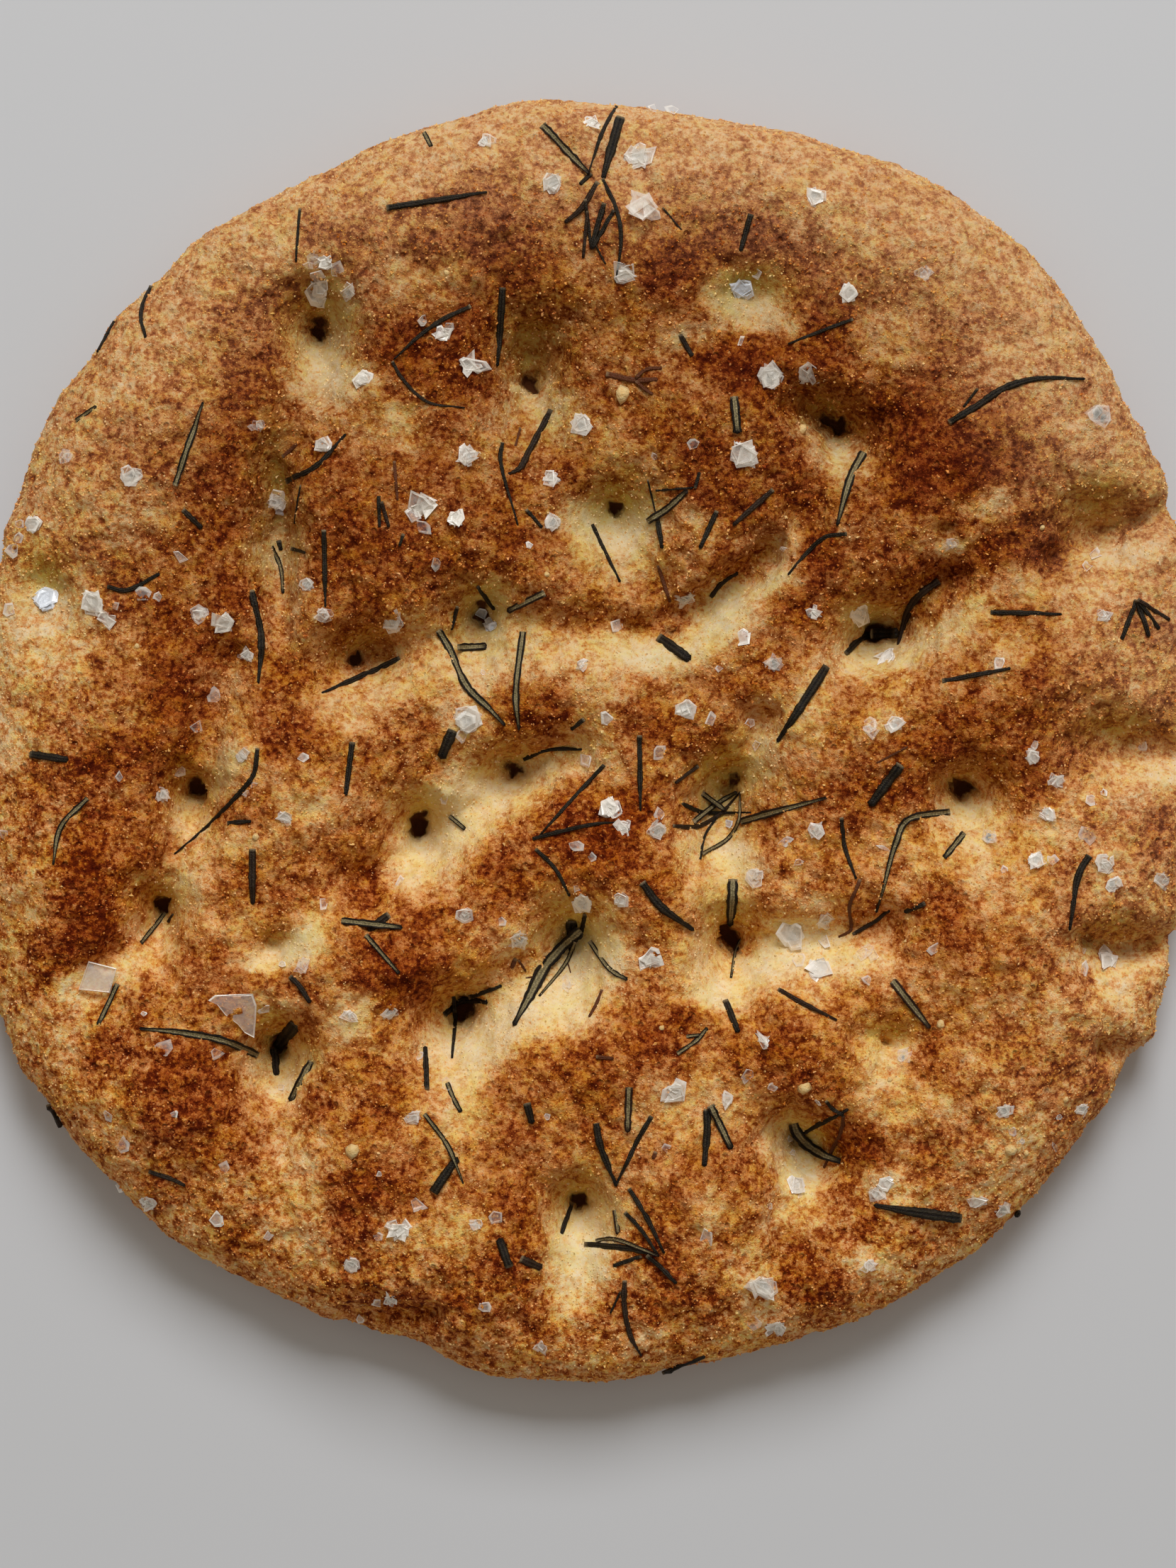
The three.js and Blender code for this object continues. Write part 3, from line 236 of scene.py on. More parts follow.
# Needles as they lie, stem end first: width, then x and y of each point along the needle.
DARK_NEEDLES = [
    (.8, -100.9, 89.3, -104.3, 82.6), (1, -93.1, 96.9, -94.8, 90.7, -93.5, 85.1),
    (.6, -61.1, 112.4, -61.7, 100.8), (1.4, -42.6, 111.7, -21.7, 114.9), (.9, .3, 119.3, -2, 116.8),
    (1.2, 1.7, 117.2, -2, 111.4, -5.1, 108.8), (.8, -1, 113.5, .3, 103.1), (.8, -.5, 111, -1.4, 101.4),
    (1, -25, 91.3, -33, 87, -41, 80.1), (1.5, -18.3, 95.2, -19.5, 79.5),
    (.8, 5.7, 135, 2.6, 128.4, -.3, 119.3), (2, 6.5, 132.1, 2.8, 118.4),
    (.9, 2.6, 118, 5.5, 111.4, 6.5, 104.8, 5.4, 96.1), (1.2, 3, 112.6, .3, 103.3), (1, 5, 111, .5, 103.1),
    (.4, 1.1, 103.9, 3.3, 99.8), (.4, 15.2, 111.8, 19.1, 107), (1.2, 33.7, 110.4, 31.6, 102.9),
    (.8, 55.2, 88.6, 41.7, 83.5), (1.1, 18.9, 85.3, 21.4, 80.9), (1.2, -85.2, 48.5, -81.4, 44.8),
    (1.1, -101.2, 32.5, -97.4, 31.7, -90.3, 35.1), (1.5, -71.3, 31.9, -69.2, 22, -69.6, 12.5),
    (1.2, -64.4, 55.1, -57.8, 57.4, -51.3, 64.3), (.5, -60.7, 53.9, -62.3, 46), (1, -66.3, 43, -65.8, 41),
    (.8, -63.4, 41, -59.9, 39.9), (.8, -41.4, 79.6, -39.5, 76.3, -34.1, 71.1, -26.3, 70),
    (1.4, -8.2, 70.3, -12.6, 61.8, -14.7, 57.6, -17.1, 56.2), (.9, -18.4, 63, -18.8, 59.3, -15.1, 45.4),
    (.8, -13.4, 48.7, -10.1, 45), (.8, -44.1, 51.2, -43.9, 44.8), (.8, -43.5, 50, -42, 44.8),
    (.7, -38.9, 43.3, -39.7, 40.8), (1.1, -55.7, 44.3, -55.5, 28.4), (1.1, -23.6, 32.7, -20.3, 28.2),
    (.9, -28, 28.6, -29.3, 23.8), (1.3, -40.2, 17.7, -56.3, 10.3), (.5, 13.8, 52.7, 21.6, 53.1),
    (.8, 22, 53, 22.9, 56.2), (1.1, 14.2, 46.8, 15.2, 40.8), (.4, 12.1, 55, 14.2, 46.8),
    (1.1, 26.6, 48.3, 23.1, 40.6), (1.2, 38.4, 52.8, 30.1, 45.4),
    (1, 53.8, 43.5, 49.4, 42.9, 46.1, 40.2, 41.7, 35.2), (.9, .5, 46, 2.6, 41.4, 6.3, 33.8),
    (1, 25.6, 30.7, 27.9, 33.6, 31.2, 35.8), (2.2, 14.4, 22.2, 20.8, 17.4),
    (1.4, 54.2, 18.8, 57.7, 22, 61.4, 23.8),
    (1.5, 75.1, 66.7, 80.7, 70, 86.5, 73.8, 93.2, 75.9, 103.9, 76.3), (.6, 81.1, 73.8, 78.2, 70),
    (1.8, 73.7, 34, 68.9, 30.2, 65.6, 20.9), (2.4, 60, 23.2, 65.4, 23.2), (1.1, 84, 27.1, 98.8, 26.7),
    (1.1, 114.9, 29.8, 111.6, 21.5), (1.1, 114.9, 29.8, 117.4, 22.2), (.9, 114.9, 29.8, 119.7, 23.8),
    (.9, 114.9, 29.8, 122, 25.7), (1.6, -117.7, -2.6, -109.4, -3.8),
    (1, -69.5, -1.4, -70.4, -6.9, -73.8, -11.1, -80.4, -17.3, -87.9, -23.7),
    (1, -76.2, -17.1, -71.1, -16.7), (1.5, -70.7, -22.5, -70.7, -33.9), (.7, -88.5, -36.6, -89.9, -38.3),
    (1.2, -49.7, -.1, -51.1, -11.1), (2.2, -28.8, 2.4, -31.2, -3.2),
    (1, -14.2, -3.7, -8.9, -1.6, -1.8, -1.6), (.9, -1.2, 4.7, -3.9, 2.6),
    (.9, 3, -4.9, -4.7, -13.2, -10.5, -19.6), (.9, -12, -20.4, -6, -18.8, 1, -17.3, 5.3, -16.9),
    (.9, -11.4, -22.5, -7.2, -26.8, -4.3, -32.4), (1.9, -42, -36.4, -46.2, -39.3),
    (2.4, -3.9, -38, -4, -42), (1, -1, -36.4, -1.8, -40.1, -4.3, -44.3), (2, 49.8, 15.9, 39.5, .2),
    (1.1, 10.4, 1.3, 10.6, -14.4), (.9, 22.9, -5.1, 18, -8.6), (.9, 19.4, -13, 23.7, -14.8, 34.1, -15),
    (1, 17.5, -17.7, 22.9, -17.9, 27.9, -15.2, 32, -10.7), (.6, 23.3, -24.8, 24.5, -19.8, 27, -16.1),
    (1.8, 10.9, -29.5, 14.6, -34.3, 21.6, -39.5), (.9, 52.7, -15.9, 53.6, -22.3, 55.8, -28.7),
    (.9, 55.6, -40.7, 60.2, -38, 63.1, -35.6), (1.1, 73.7, 12.6, 87.6, 15.2),
    (2.2, 65, -4.9, 58.9, -13.2), (1.5, 104.6, -23.9, 102.3, -27.7, 100.4, -39.3),
    (1, 70.2, -33.9, 66.2, -35.8), (3, -62.2, -59.5, -66.7, -65), (1.6, -67.5, -65.3, -66.7, -70.7),
    (1.1, -115, -76.9, -114.2, -79.2, -112.5, -81.7), (1, -92.8, -90.4, -88.7, -91.6, -85.2, -93.3),
    (1.2, -62.8, -49.1, -60.9, -51, -58.6, -54.5), (1.6, -31, -58, -28.3, -55.5, -21.9, -55.1),
    (.9, -25.9, -54.5, -18.8, -51.6), (.9, -29, -54.1, -28.8, -60, -29.2, -66.9),
    (1.2, -34.2, -73, -34.8, -64.5), (2, -32.7, -94.3, -30.8, -91.4, -27.9, -87.3),
    (1.7, -13.2, -75.7, -12.2, -79.8), (1.2, -3.9, -98, -6, -103.9),
    (1.5, 1.3, -80, 2.1, -84.4, 5.5, -93.1), (1.1, 12.9, -78.4, 10.4, -82.7, 8, -87.7, 5.5, -92.9),
    (1.4, 28.5, -54.3, 31, -60.7), (1.1, 39.5, -52, 44, -54.5, 51.5, -58.2),
    (1.7, 24.5, -76.9, 24.5, -81.5, 23.9, -88.5), (1.1, 45.5, -83.1, 48.6, -80.8, 54, -77.1),
    (.9, 49.4, -75.2, 50.7, -76.9, 53.1, -78.4), (1.1, 8.2, -93.7, 11.7, -99.3, 15.5, -107),
    (.9, 7.3, -98.7, 10.8, -102.4, 14.4, -107.8), (2.3, 78.2, -100.3, 70.4, -99.1, 60, -97.4),
    (1.2, 91.3, -99.6, 90.6, -100.8), (1.9, -16.8, -109.9, -18.9, -104.2),
    (1.7, -14.5, -108.2, -10.3, -110.3), (1.2, -1.2, -106.2, 9.2, -106.5, 14.2, -107.6),
    (.9, 10.8, -107.9, 5, -110.1), (1.1, 11.9, -107.6, 15.4, -110.7, 18, -113.4),
    (1.2, 7.3, -113.1, 7.2, -118, 8.5, -124.8, 10.8, -129.4), (.5, 6.4, -115.5, 4.3, -120.1),
    (1.1, 15.4, -134.3, 24.2, -130),
]

# These lie with their pale underside up, between rolled dark edges.
PALE_NEEDLES = [
    (1, -35.1, 129, -33.5, 125.6), (1.7, -10, 130, -.3, 119.3), (.9, -108.2, 67.6, -103.8, 70.4),
    (1.4, -86.8, 53.5, -81, 70.8), (1, -67.7, 41.6, -65.7, 37, -65.1, 31.7),
    (1.6, -9.5, 31.1, -17.2, 27.6), (1.7, -31.9, 23.5, -29.6, 19.6, -25.9, 11.7, -21.3, 7.1, -18, 3.6),
    (1.8, -27.9, 19.9, -22.1, 20.3), (1.5, -14.1, 23.2, -15.5, 9.6, -14.9, 2.6),
    (2, 30.1, 72.1, 30.8, 64.7), (1.6, 12.1, 46.4, 16.2, 48.9, 20.2, 52.4),
    (1.9, 57.9, 61.3, 54.8, 55.5, 51.9, 45.6), (1.2, -105.3, -11.9, -110.9, -18.1, -112.3, -25.6),
    (1, -90.8, -36.4, -95.1, -42.6), (1, -29.8, -15.7, -26.5, -18.4), (1.6, -52, -37.5, -39.5, -38.9),
    (1.1, -46.8, -40.4, -39.9, -48.3), (1.6, 32, -16.9, 37.4, -15.2, 49.4, -11.8),
    (1.2, 22, -16.9, 27, -13.2, 31.2, -10.7), (1.2, 23.9, -10.9, 28.7, -14.4),
    (.9, 23.9, -23.7, 29.5, -20.4, 31.6, -16.5, 32, -10.7), (2.2, 30.2, -29, 29.9, -38.9),
    (1.5, 76.2, -14.7, 66.6, -16.5, 64.1, -21.5, 60.4, -35.8), (1.4, 78.9, -19.2, 74.3, -24.2),
    (1.2, -99.5, -51, -103.2, -59.3), (1.7, -70.4, -66.5, -76.2, -63, -84.5, -61.1, -94.1, -60.1),
    (1.9, -58.8, -67.4, -63.2, -75.7), (1.1, -30, -71.7, -28.8, -74.4, -27.1, -77.5),
    (1, -34.6, -77.9, -29.6, -84.8, -26.5, -92.4),
    (2.6, -2, -40, -6, -43.7, -9.7, -47.9, -13, -54.1, -15.9, -59.3),
    (.9, -3.1, -42.5, -5.1, -47, -10.7, -53.7), (1.1, -.1, -42.3, 4.2, -47.9, 7.7, -49.9),
    (1.6, 8.2, -72.3, 7.9, -81.5), (1, 18.3, -65.3, 22.5, -62.4, 24.5, -60.1),
    (.8, 20.2, -61.8, 22.9, -61.4), (1.7, 25.2, -76.1, 27, -79.8, 29.5, -85),
    (.7, 32.4, -42.1, 31.2, -44.6, 29.9, -50),
    (2.4, 43.2, -81, 44, -83.1, 46.5, -86, 49.4, -87.7, 53.1, -88.9), (1.2, 5.3, -98.5, 5.9, -103.4),
    (1.8, 63.5, -50.2, 66.2, -53.7, 71.2, -59.9),
    (.9, 1.2, -105.3, 5, -104.6, 10.4, -106.1, 14.2, -107.6),
]

# Thin, dry needles and threads that baked to a reddish brown.
BROWN_NEEDLES = [
    (1.2, 3.4, 77.1, 9.6, 75.7, 14, 75.8), (.8, 9.6, 76.1, 11.7, 77.9, 15, 78.3),
    (.8, 9.6, 75.4, 11.5, 73.8, 13.1, 72.7), (.8, -64.9, 60.1, -61.8, 62.7),
    (.5, -14.7, 66.5, -15.7, 62.4), (.7, -40.9, 58.6, -40.2, 50.4), (.8, 14.4, 37.1, 16.9, 29.6),
    (.8, 56.7, -28.9, 54.6, -34.7, 55.2, -39.7, 52.7, -41.2), (.5, 66.4, -1.1, 60, -4.5),
    (1, -15.7, -45.8, -16.5, -47.7), (.5, -15.1, -46.2, -13.6, -48.5),
    (.8, 2.6, -52.2, 1.5, -54.9, -.1, -57.8), (.9, 1.3, -65.9, 4.8, -66.2),
    (.9, 53.3, -78.6, 53.1, -81.9, 51.5, -86.4, 49.8, -90.4), (.8, 13.8, -85.8, 13.2, -87.2),
    (.3, -4.7, -47, -4.1, -49.1), (.4, -13.6, -50, -10.9, -49.7),
]

# Salt as it lies: x, y, length, width. White flakes are frosted, clear ones glassy, faint and
# melted ones have sunk into the crust.
WHITE_SALT = [
    (-30.6, 85.7, 5, 4), (-24.5, 79, 7, 3), (-12.8, 41.2, 1.5, 1.5), (-104.4, 29.4, 6, 4),
    (-101.5, 25.7, 4.5, 4), (-57.6, 94.5, 6, 5), (-55.5, 100.5, 4, 3), (-35.4, 49.3, 7, 6),
    (-27.9, 46.6, 4, 3.5), (56.7, 26.9, 6, 4.5), (63, 18.2, 5, 2), (85.3, 16.3, 2.5, 2.5),
    (107, 39.8, 3.5, 2.5), (-40, -29.5, 2.2, 2), (33.9, 4, 2, 2), (6.7, -33.5, 4.5, 3.5),
    (42.8, -40.9, 7, 5), (47.8, -47.9, 5.5, 4.5), (12.7, -45.4, 6, 5.5), (109.3, -44.5, 3, 3),
    (-68.4, -56.4, 2.5, 2.5), (-64.6, -46.6, 1.5, 1.5), (-78.1, -100.7, 3.5, 3), (-99.8, -94.7, 2, 2),
    (-40.2, -102.2, 6, 4.5), (43.2, -93.5, 5, 4.5), (43.2, -87.3, 1.5, 1.5), (42.6, -84.6, 1.5, 1.5),
    (110, -46.2, 5, 4), (104.2, -47.9, 3, 2), (90.7, -83.9, 1.3, 1.3), (-42, -117.3, 4, 1.5),
    (-44.9, -118.2, 2.5, 2), (39.5, -123.7, 5, 3), (47.8, -75.7, 2, .8), (18.1, -73.8, 6, 5),
    (-76.7, 24.9, 5.5, 4), (-1.4, -33.9, 4.5, 4.5), (-93.5, -57, 1.3, 1.3), (-117.2, 46, 4, 4),
    (-47.6, 76, 5, 4), (54.2, 93.8, 4, 4), (32, 22, 3.5, 3.5), (4.2, -14, 5.5, 4.5), (62.1, -92.9, 4, 3),
    (-93.2, -97.8, 4.5, 3.5), (0.5, 130.7, 4, 2), (3.6, 4.9, 3, 3),
]
CLEAR_SALT = [
    (-53, 99, 3, 3), (-57.5, 97.8, 3.3, 3), (-50.5, 94.5, 4, 3), (-35, 88, 2, 2), (-8, 117.5, 5, 5),
    (-21.7, 126.5, 4, 3), (47, 114.3, 5, 5), (31.8, 84.2, 2.5, 2.5), (35, 98.5, 2, 2), (45.9, 77.3, 5, 5),
    (38.2, 76.5, 6, 5), (13.3, 134.6, 2.5, 2), (17.5, 134.4, 3, 2), (-95.9, 55.5, 5, 4),
    (-66.3, 51, 4.5, 4), (-120.6, 46, 2, 2), (-120.6, 43, 2.5, 2.5), (-122, 40.6, 3, 3),
    (-93.7, 31, 3, 3), (-90.8, 30.2, 2, 2), (-99.5, 28.6, 2, 2), (-85.8, 38.5, 3, 2), (-81.8, 26.5, 4, 4),
    (-72.1, 18.2, 4, 2.5), (-122.7, 27.8, 3, 3), (-1.8, 66.7, 5, 5), (-34.4, 44.6, 3.5, 2.5),
    (-8, 46.2, 4, 4), (-55.7, 62.2, 4, 4), (-25.7, 60, 6, 3), (-8.2, 55.3, 4, 3), (-32.1, 36.9, 2.5, 2.5),
    (-55.7, 26.5, 4, 3), (-41.2, 24.9, 5, 4), (-59.4, 33.1, 4, 2.5), (32.4, 60.1, 7, 6),
    (13.5, 59.7, 1.5, 1.5), (5.7, 24.6, 3, 3), (21.6, 62.2, 2.5, 2.5), (41.1, 40.6, 2, 1),
    (47.1, 26.9, 4, 2), (-1.4, 16.1, 4, 3), (20, 30.2, 5, 2), (105.2, 37.3, 2.5, 2.5), (108, 26.5, 4, 3),
    (-90.1, -11.1, 4, 2), (-86.8, -6.1, 3, 3), (-72.9, -2.8, 4, 3), (-70.4, -9, 1.5, 1.5),
    (-72, -10.9, 1.5, 1.5), (-123.5, -19.4, 2.5, 2.5), (-82.5, 3, 2.5, 2.5), (-98.6, -7.4, 2, 2),
    (-63.4, -16.1, 4, 3), (-79.2, 10, 3, 3), (-25.7, 4.7, 6, 5.5), (-26.9, 1.1, 2.5, 2.5),
    (-55.9, -34.1, 3, 2.2), (-30.8, -12.3, 2, 2), (-2.8, -30.9, 1.5, 1.5), (-18.4, -37.8, 2, 2),
    (-14.7, -41.8, 4.5, 3), (-25.9, -36.4, 4, 3), (-1, -4, 3, 3), (-2.6, -21.9, 3, 2),
    (-22.5, 14.6, 1.2, 1.2), (-59.9, -3.2, 3, 2), (20, 6.7, 4.5, 4), (25.4, 4.9, 3, 2),
    (27, 15.4, 1.8, 1.8), (14.6, -2.4, 3, 3), (6.9, -18.1, 4, 4), (14.6, -15.4, 3.5, 2),
    (14.2, -18.6, 4, 4), (34.7, -28.3, 4, 4), (41.1, -21, 3, 3), (47.3, -18.6, 4, 3), (43.8, -25.4, 2, 2),
    (49.6, -38, 4.5, 3.5), (49.4, -42.2, 3, 2.5), (.5, -24.4, 2, 2), (35.3, -.7, 3, 1.5),
    (63.7, 3.4, 4, 3.5), (92.8, -3.2, 4, 3), (93, -.7, 2, 2), (97.7, -8.2, 5, 2.5), (95.9, -15, 4, 4),
    (105.2, -12.3, 2.5, 2), (108.1, -10.7, 1.5, 1.5), (104.2, -19.6, 3.5, 3.5), (93.4, -24.8, 4, 4),
    (96.7, -24.8, 2.5, 2.5), (107.7, -25.6, 5, 4), (109.8, -29.8, 4, 3), (120.5, -29.3, 4, 4),
    (61.7, -22.3, 3, .7), (86.7, -26.8, 1.5, 1.5), (117.4, -1.1, 2, 2), (-101.1, -78.8, 2.5, 2),
    (-98, -84.6, 3, 3), (-76.5, -89.3, 3, 2.5), (-67.7, -103.6, 3, 2), (-65.7, -73.2, 1.5, 1.5),
    (-86.8, -77.9, 1.5, 1.5), (-78.3, -65.5, 2.5, 2.5), (-50.3, -57.6, 4, 3), (-41.8, -56.8, 4, 2.5),
    (-35.8, -66.3, 2, 1.3), (-37.1, -78.6, 4, 3), (-35.8, -97.2, 3.5, 3), (-44.4, -103.4, 2, 2),
    (-19.6, -99.3, 3, 3), (-24, -101, 4, 2.5), (-8.9, -78.6, 1.5, 1.5), (-44, -90.4, 1.2, 1.2),
    (44.4, -45.8, 3, 2.5), (58.1, -50, 2, 2), (36.3, -62.4, 4, 2), (33, -69.9, 3.3, 2.8),
    (38.4, -72.3, 2.3, 2.3), (28.7, -74.8, 4, 3), (60.6, -95.1, 4.5, 4), (24.4, -103.5, 3.5, 3),
    (16, -85, 2, 2), (37.8, -97.6, 1.3, 1.3), (104.2, -44.1, 1.5, 1.5), (86.9, -77.3, 4, 2.5),
    (88.6, -81.9, 2, 2), (103.9, -77.7, 4, 2.5), (81.4, -96.8, 5, 3), (87.4, -98.9, 4.5, 2.5),
    (98.6, -79, 1.3, 1.3), (98.1, -85.6, 3, 1), (72, -43.3, 3, 2), (-50, -109.9, 4, 3.5),
    (-48.7, -122.5, 2, 2), (-22, -118.3, 2.5, 2.5), (-10.3, -127.5, 4, 2.5), (36.6, -114.5, 8, 5),
    (58.6, -109.9, 4, 2.5), (44.4, -95.8, 1.5, 1.5),
]
FAINT_SALT = [
    (-58, 101, 5, 4), (107, 68.8, 6, 5), (75.3, 41, 4, 3), (58.1, 2.6, 5, 4), (39, 16.7, 5, 3),
    (-89.1, -64, 3.5, 3), (-59.9, -46.8, 4, 4), (-4.7, -51.2, 4, 2.5), (58.3, -44.6, 5, 4.5),
    (-1.5, -106.5, 2, 2), (34.9, -122.5, 3, 3), (84, -20, 4, 3), (-30, -72, 3, 3), (66, -66, 4, 3),
    (-110, 60, 4, 3), (-70, 66, 4, 3), (70, 98, 4, 3),
]
MELTED_SALT = [(10.9, 111.8, 8, 6), (10.4, 122.5, 8, 4), (7.5, 97.7, 4.5, 6.5)]
BLUISH_SALT = [
    (32, 95.9, 6, 6), (-115, 30.2, 6, 5), (-23.2, 27.3, 3, 3), (-21.1, 24.9, 4, 2), (29.5, -17.5, 2, 2),
    (-66, 49.5, 3, 2.5),
]

# Two large flakes, by their own corners.
CORNERED_SALT = [
    ((-105.4, -46.2), (-99.6, -47.7), (-101.1, -52.9), (-107.6, -52.2)),
    (
        (-79.8, -54.2), (-78.4, -53.1), (-70.7, -52.9), (-70, -55.4), (-70.3, -58.7), (-70.7, -62.3),
        (-72.6, -61.2), (-74, -59.3), (-76.5, -57.3), (-78, -55.1),
    ),
]

# Loose yellow crumbs of dough: x, y, size.
YELLOW_CRUMBS = [
    (6.9, 72.7, 4), (44.8, 65.9, 2.5), (88.2, -85.6, 3), (91.7, -86.4, 1.5), (100, -75.2, 1.5),
    (73.7, -59.3, 2), (44.8, -72.5, 3), (-49.5, -85.6, 3.5), (-57, 71, 1.5), (26, 34, 1.2), (-9, 35, 1.4),
    (63, -71, 1.5), (-70, -20, 1.6), (15, -60, 1.3), (95, 45, 1.5), (-95, 20, 1.5), (-30, 98, 1.4),
    (70, 110, 1.6),
]

# Pores and small blisters that broke open: x, y, half width.
PORES = [
    (-66, 110.4, 1.3), (-66.7, 104, .8), (-68.9, 97.6, .8), (-87, 94, .9), (-104.9, 48.9, .8),
    (-86.2, 52.2, .8), (-105.9, -66.5, .7), (-63.8, -87.5, .7), (42.8, -79.2, .8), (72, -73.6, .6),
    (81.1, -80, .7), (62.7, -76.9, .7), (-54.8, -117, .6), (73, 57, .7), (75, 55, .6), (-19, 60, .7),
    (60, -20, .6), (-75, -55, .7), (12, -12, .6),
]

# Roughness of the crust. Each noise has a lump size and a shift that makes it unlike the others; where
# a height follows, that is how far its lumps stand proud.
NOISE_TURN = (0.7, 0.4, 0.9)
NOISE_SHIFT = np.array((1, 1.7, -1))
LUMPS = [((12, 0), 1.2), ((6, 1), 0.8), ((2.8, 2), 1.1)]
COBBLES = (2.2, 5.3)
COBBLE_HEIGHT = 0.9
PITS = (3.4, 9.1)
PIT_REACH = 0.32
PIT_DEPTH = 1.0
PITTED_AREAS = (14, 3.3)
PITTED_RANGE = (-0.2, 0.4)
PORE_DEPTH = 1.5
SIDE_LUMPS = (13, 7.7)
SIDE_LUMP_HEIGHT = 0.9
RIM_SMOOTHING = 0.6
PALE_SMOOTHNESS = 0.5
PALE_RANGE = (0.1, 0.5)
LOWEST_ROUGH = (0.2, 3)
HOLE_RAGGED = 1.6
HOLE_EDGES = [(2.2, 51.0), (2.2, 57.0)]
# A dent counts fully from this depth, for a hole's painted shade and a bowl's pale far wall.
FULL_SHARE_DEPTH = 5

# Bands near the rim, as shares of the way out to it
SMOOTH_BAND = (0.9, 0.985)
SIDE_BAND = (0.965, 0.995)
RIM_BAND = (0.7, 0.9)
BROWN_BAND = (0.8, 0.94)
TAN_BAND = (0.68, 0.93)

# Browning of the crust: where nothing else is stated, and round the rim
PLAIN_BROWNING = 0.48
RIM_BROWNING = 0.4
RIM_NEAR_BROWNER = 0.05
PATCH_WEIGHT = 25
PLAIN_WEIGHT = 1.6
BROWNING_CONTRAST = 1.22
INSIDE_BROWNING = 0.12
INSIDE_PALER = 0.6
PATCH_WANDER = 1.6
WANDER_X = [((9, 11.2), 1), ((4, 2.9), 0.5)]
WANDER_Y = [((9, 23.8), 1), ((4, 6.1), 0.5)]
OIL_AND_SHADE_WANDER = (7, 17.0)
UNEVEN_BROWNING = [((8, 31.0), 0.12), ((3.2, 41.0), 0.14)]
UNEVEN_RANGE = (0, 0.5)
TAN_BEARING = 65
TAN_ALL_ROUND = 0.35
# Colour darker towards the far end of the loaf, less so at the rim.
DULL_RANGE = (-45, 85)
DULL_WANDER = 8
DULL_EDGE = (30, 71.0)
DULL_AT_RIM = 0.5
# Far walls of a bowl, in its own reaches: how far up, how wide and how long.
PALE_WALL = (0.3, 0.7, 0.65)
# The oiled walls also carry painted shade.
OILED_SHADED_WALL = (0.55, 0.95, 0.7)

# Rosemary
NEEDLE_STATION = 0.6
NEEDLE_STEM_SHARE = 0.92
CUT_TIP_SHARE = 0.86
WHOLE_TIP_SHARE = 0.4
CUT_LENGTH = 8
WHOLE_LENGTH = 17
STEM_WIDENS = (0, 0.2)
TIP_NARROWS = (1.0, 0.55)
NEEDLE_SPAN = 5
NEEDLE_RISE = 0.34
MOST_BRIDGED = 0.3
NEEDLE_UNEVEN = 0.1
NEEDLE_LEAN = 14
NEEDLE_WAVER = (0.94, 1.06)
NEEDLE_STANDS = 1.05
STEM_BULGE = 0.1
TIP_BULGE = 0.5
NEEDLE_TOP = 0.5
CHANNEL_ENDS = (1.0, 0.82)
BROWN_RED = 0.85
DARK_RED = (-0.35, 0.14)
TORN_STEM = 0.8
TORN_RIM = 0.7
# Sections of a needle seen from its end, from the left edge over the top and back underneath, in
# half widths.
DARK_SECTION = [
    (-1, 0), (-.93, .3), (-.7, .56), (-.38, .68), (-.14, .66), (0, .58), (.14, .66), (.38, .68),
    (.7, .56), (.93, .3), (1, 0), (.6, -.5), (0, -.62), (-.6, -.5),
]
PALE_SECTION = [
    (-1, 0), (-.95, .4), (-.76, .58), (-.52, .42), (-.3, .2), (0, .3), (.3, .2), (.52, .42),
    (.76, .58), (.95, .4), (1, 0), (.6, -.5), (0, -.62), (-.6, -.5),
]
# How pale each point of a section is: the pale channel, and a painted sheen on the dark needles' ridges.
PALE_CHANNEL = (0, 0, 0, 0, 1, .5, 1, 0, 0, 0, 0, 0, 0, 0)
DARK_RIDGE_SHEEN = (0, 0, .02, .07, 0, 0, 0, .07, .02, 0, 0, 0, 0, 0)

# A topping looks for the crust below it from this height, moves inward by this share until it meets
# the crust, and leans no more than this slope.
PROBE_FROM = 80
PROBE_INWARD = 0.995
MOST_SLOPE = 1.1

# Salt
SALT_THICKNESS = 0.13
LEAST_THICKNESS = 0.3
FAINT_THICKNESS = 0.6
PANE_THICKNESS = 1.1
THICKNESS_RANGE = (0.7, 1.6)
SHARDS_FROM = 3.6
SHARD_COUNT = (4, 8)
SHARD_SIZE = (0.45, 0.95)
SHARD_TILT = 0.14
CORNER_COUNT = (4, 7)
CORNER_REACH = (0.4, 0.68)
CORNER_WANDER = 0.36
FACE_WANDER = (0.86, 1.04)
FACE_UNEVEN = 0.12
MIDDLE_RISE = 0.4
MIDDLE_UNEVEN = 0.15
MIDDLE_DRIFT = 0.5
FROST_RANGE = (0.5, 1.1)
FLAKE_REACH = 1.5
FLAKE_SUNK = 0.6
MOST_SLOPE = 1.1
# From a flake's lower edge to its face: size as a share of the flake, height as a share of its
# thickness, and frost.
SHARD_PROFILE = [(1, -0.5, 0.5), (1.02, 0.25, 1), (0.84, 0.5, 0.9), (0.66, 0.36, 0)]
PANE_PROFILE = [(1, -0.5, 0.5), (1.01, 0.4, 1), (0.95, 0.5, 0.9), (0.9, 0.4, 0)]
# Least and most haze, haze at the rim, and how blue.
SALT_KINDS = {
    "white": (0.17, 0.52, 0.55, 0.0),
    "clear": (0.06, 0.3, 0.45, 0.0),
    "faint": (0.03, 0.14, 0.25, 0.0),
    "bluish": (0.3, 0.6, 0.5, 0.7),
    "pane": (0.3, 0.5, 0.55, 0.0),
    "melted": (0.22, 0.3, 0.3, 0.0),
}

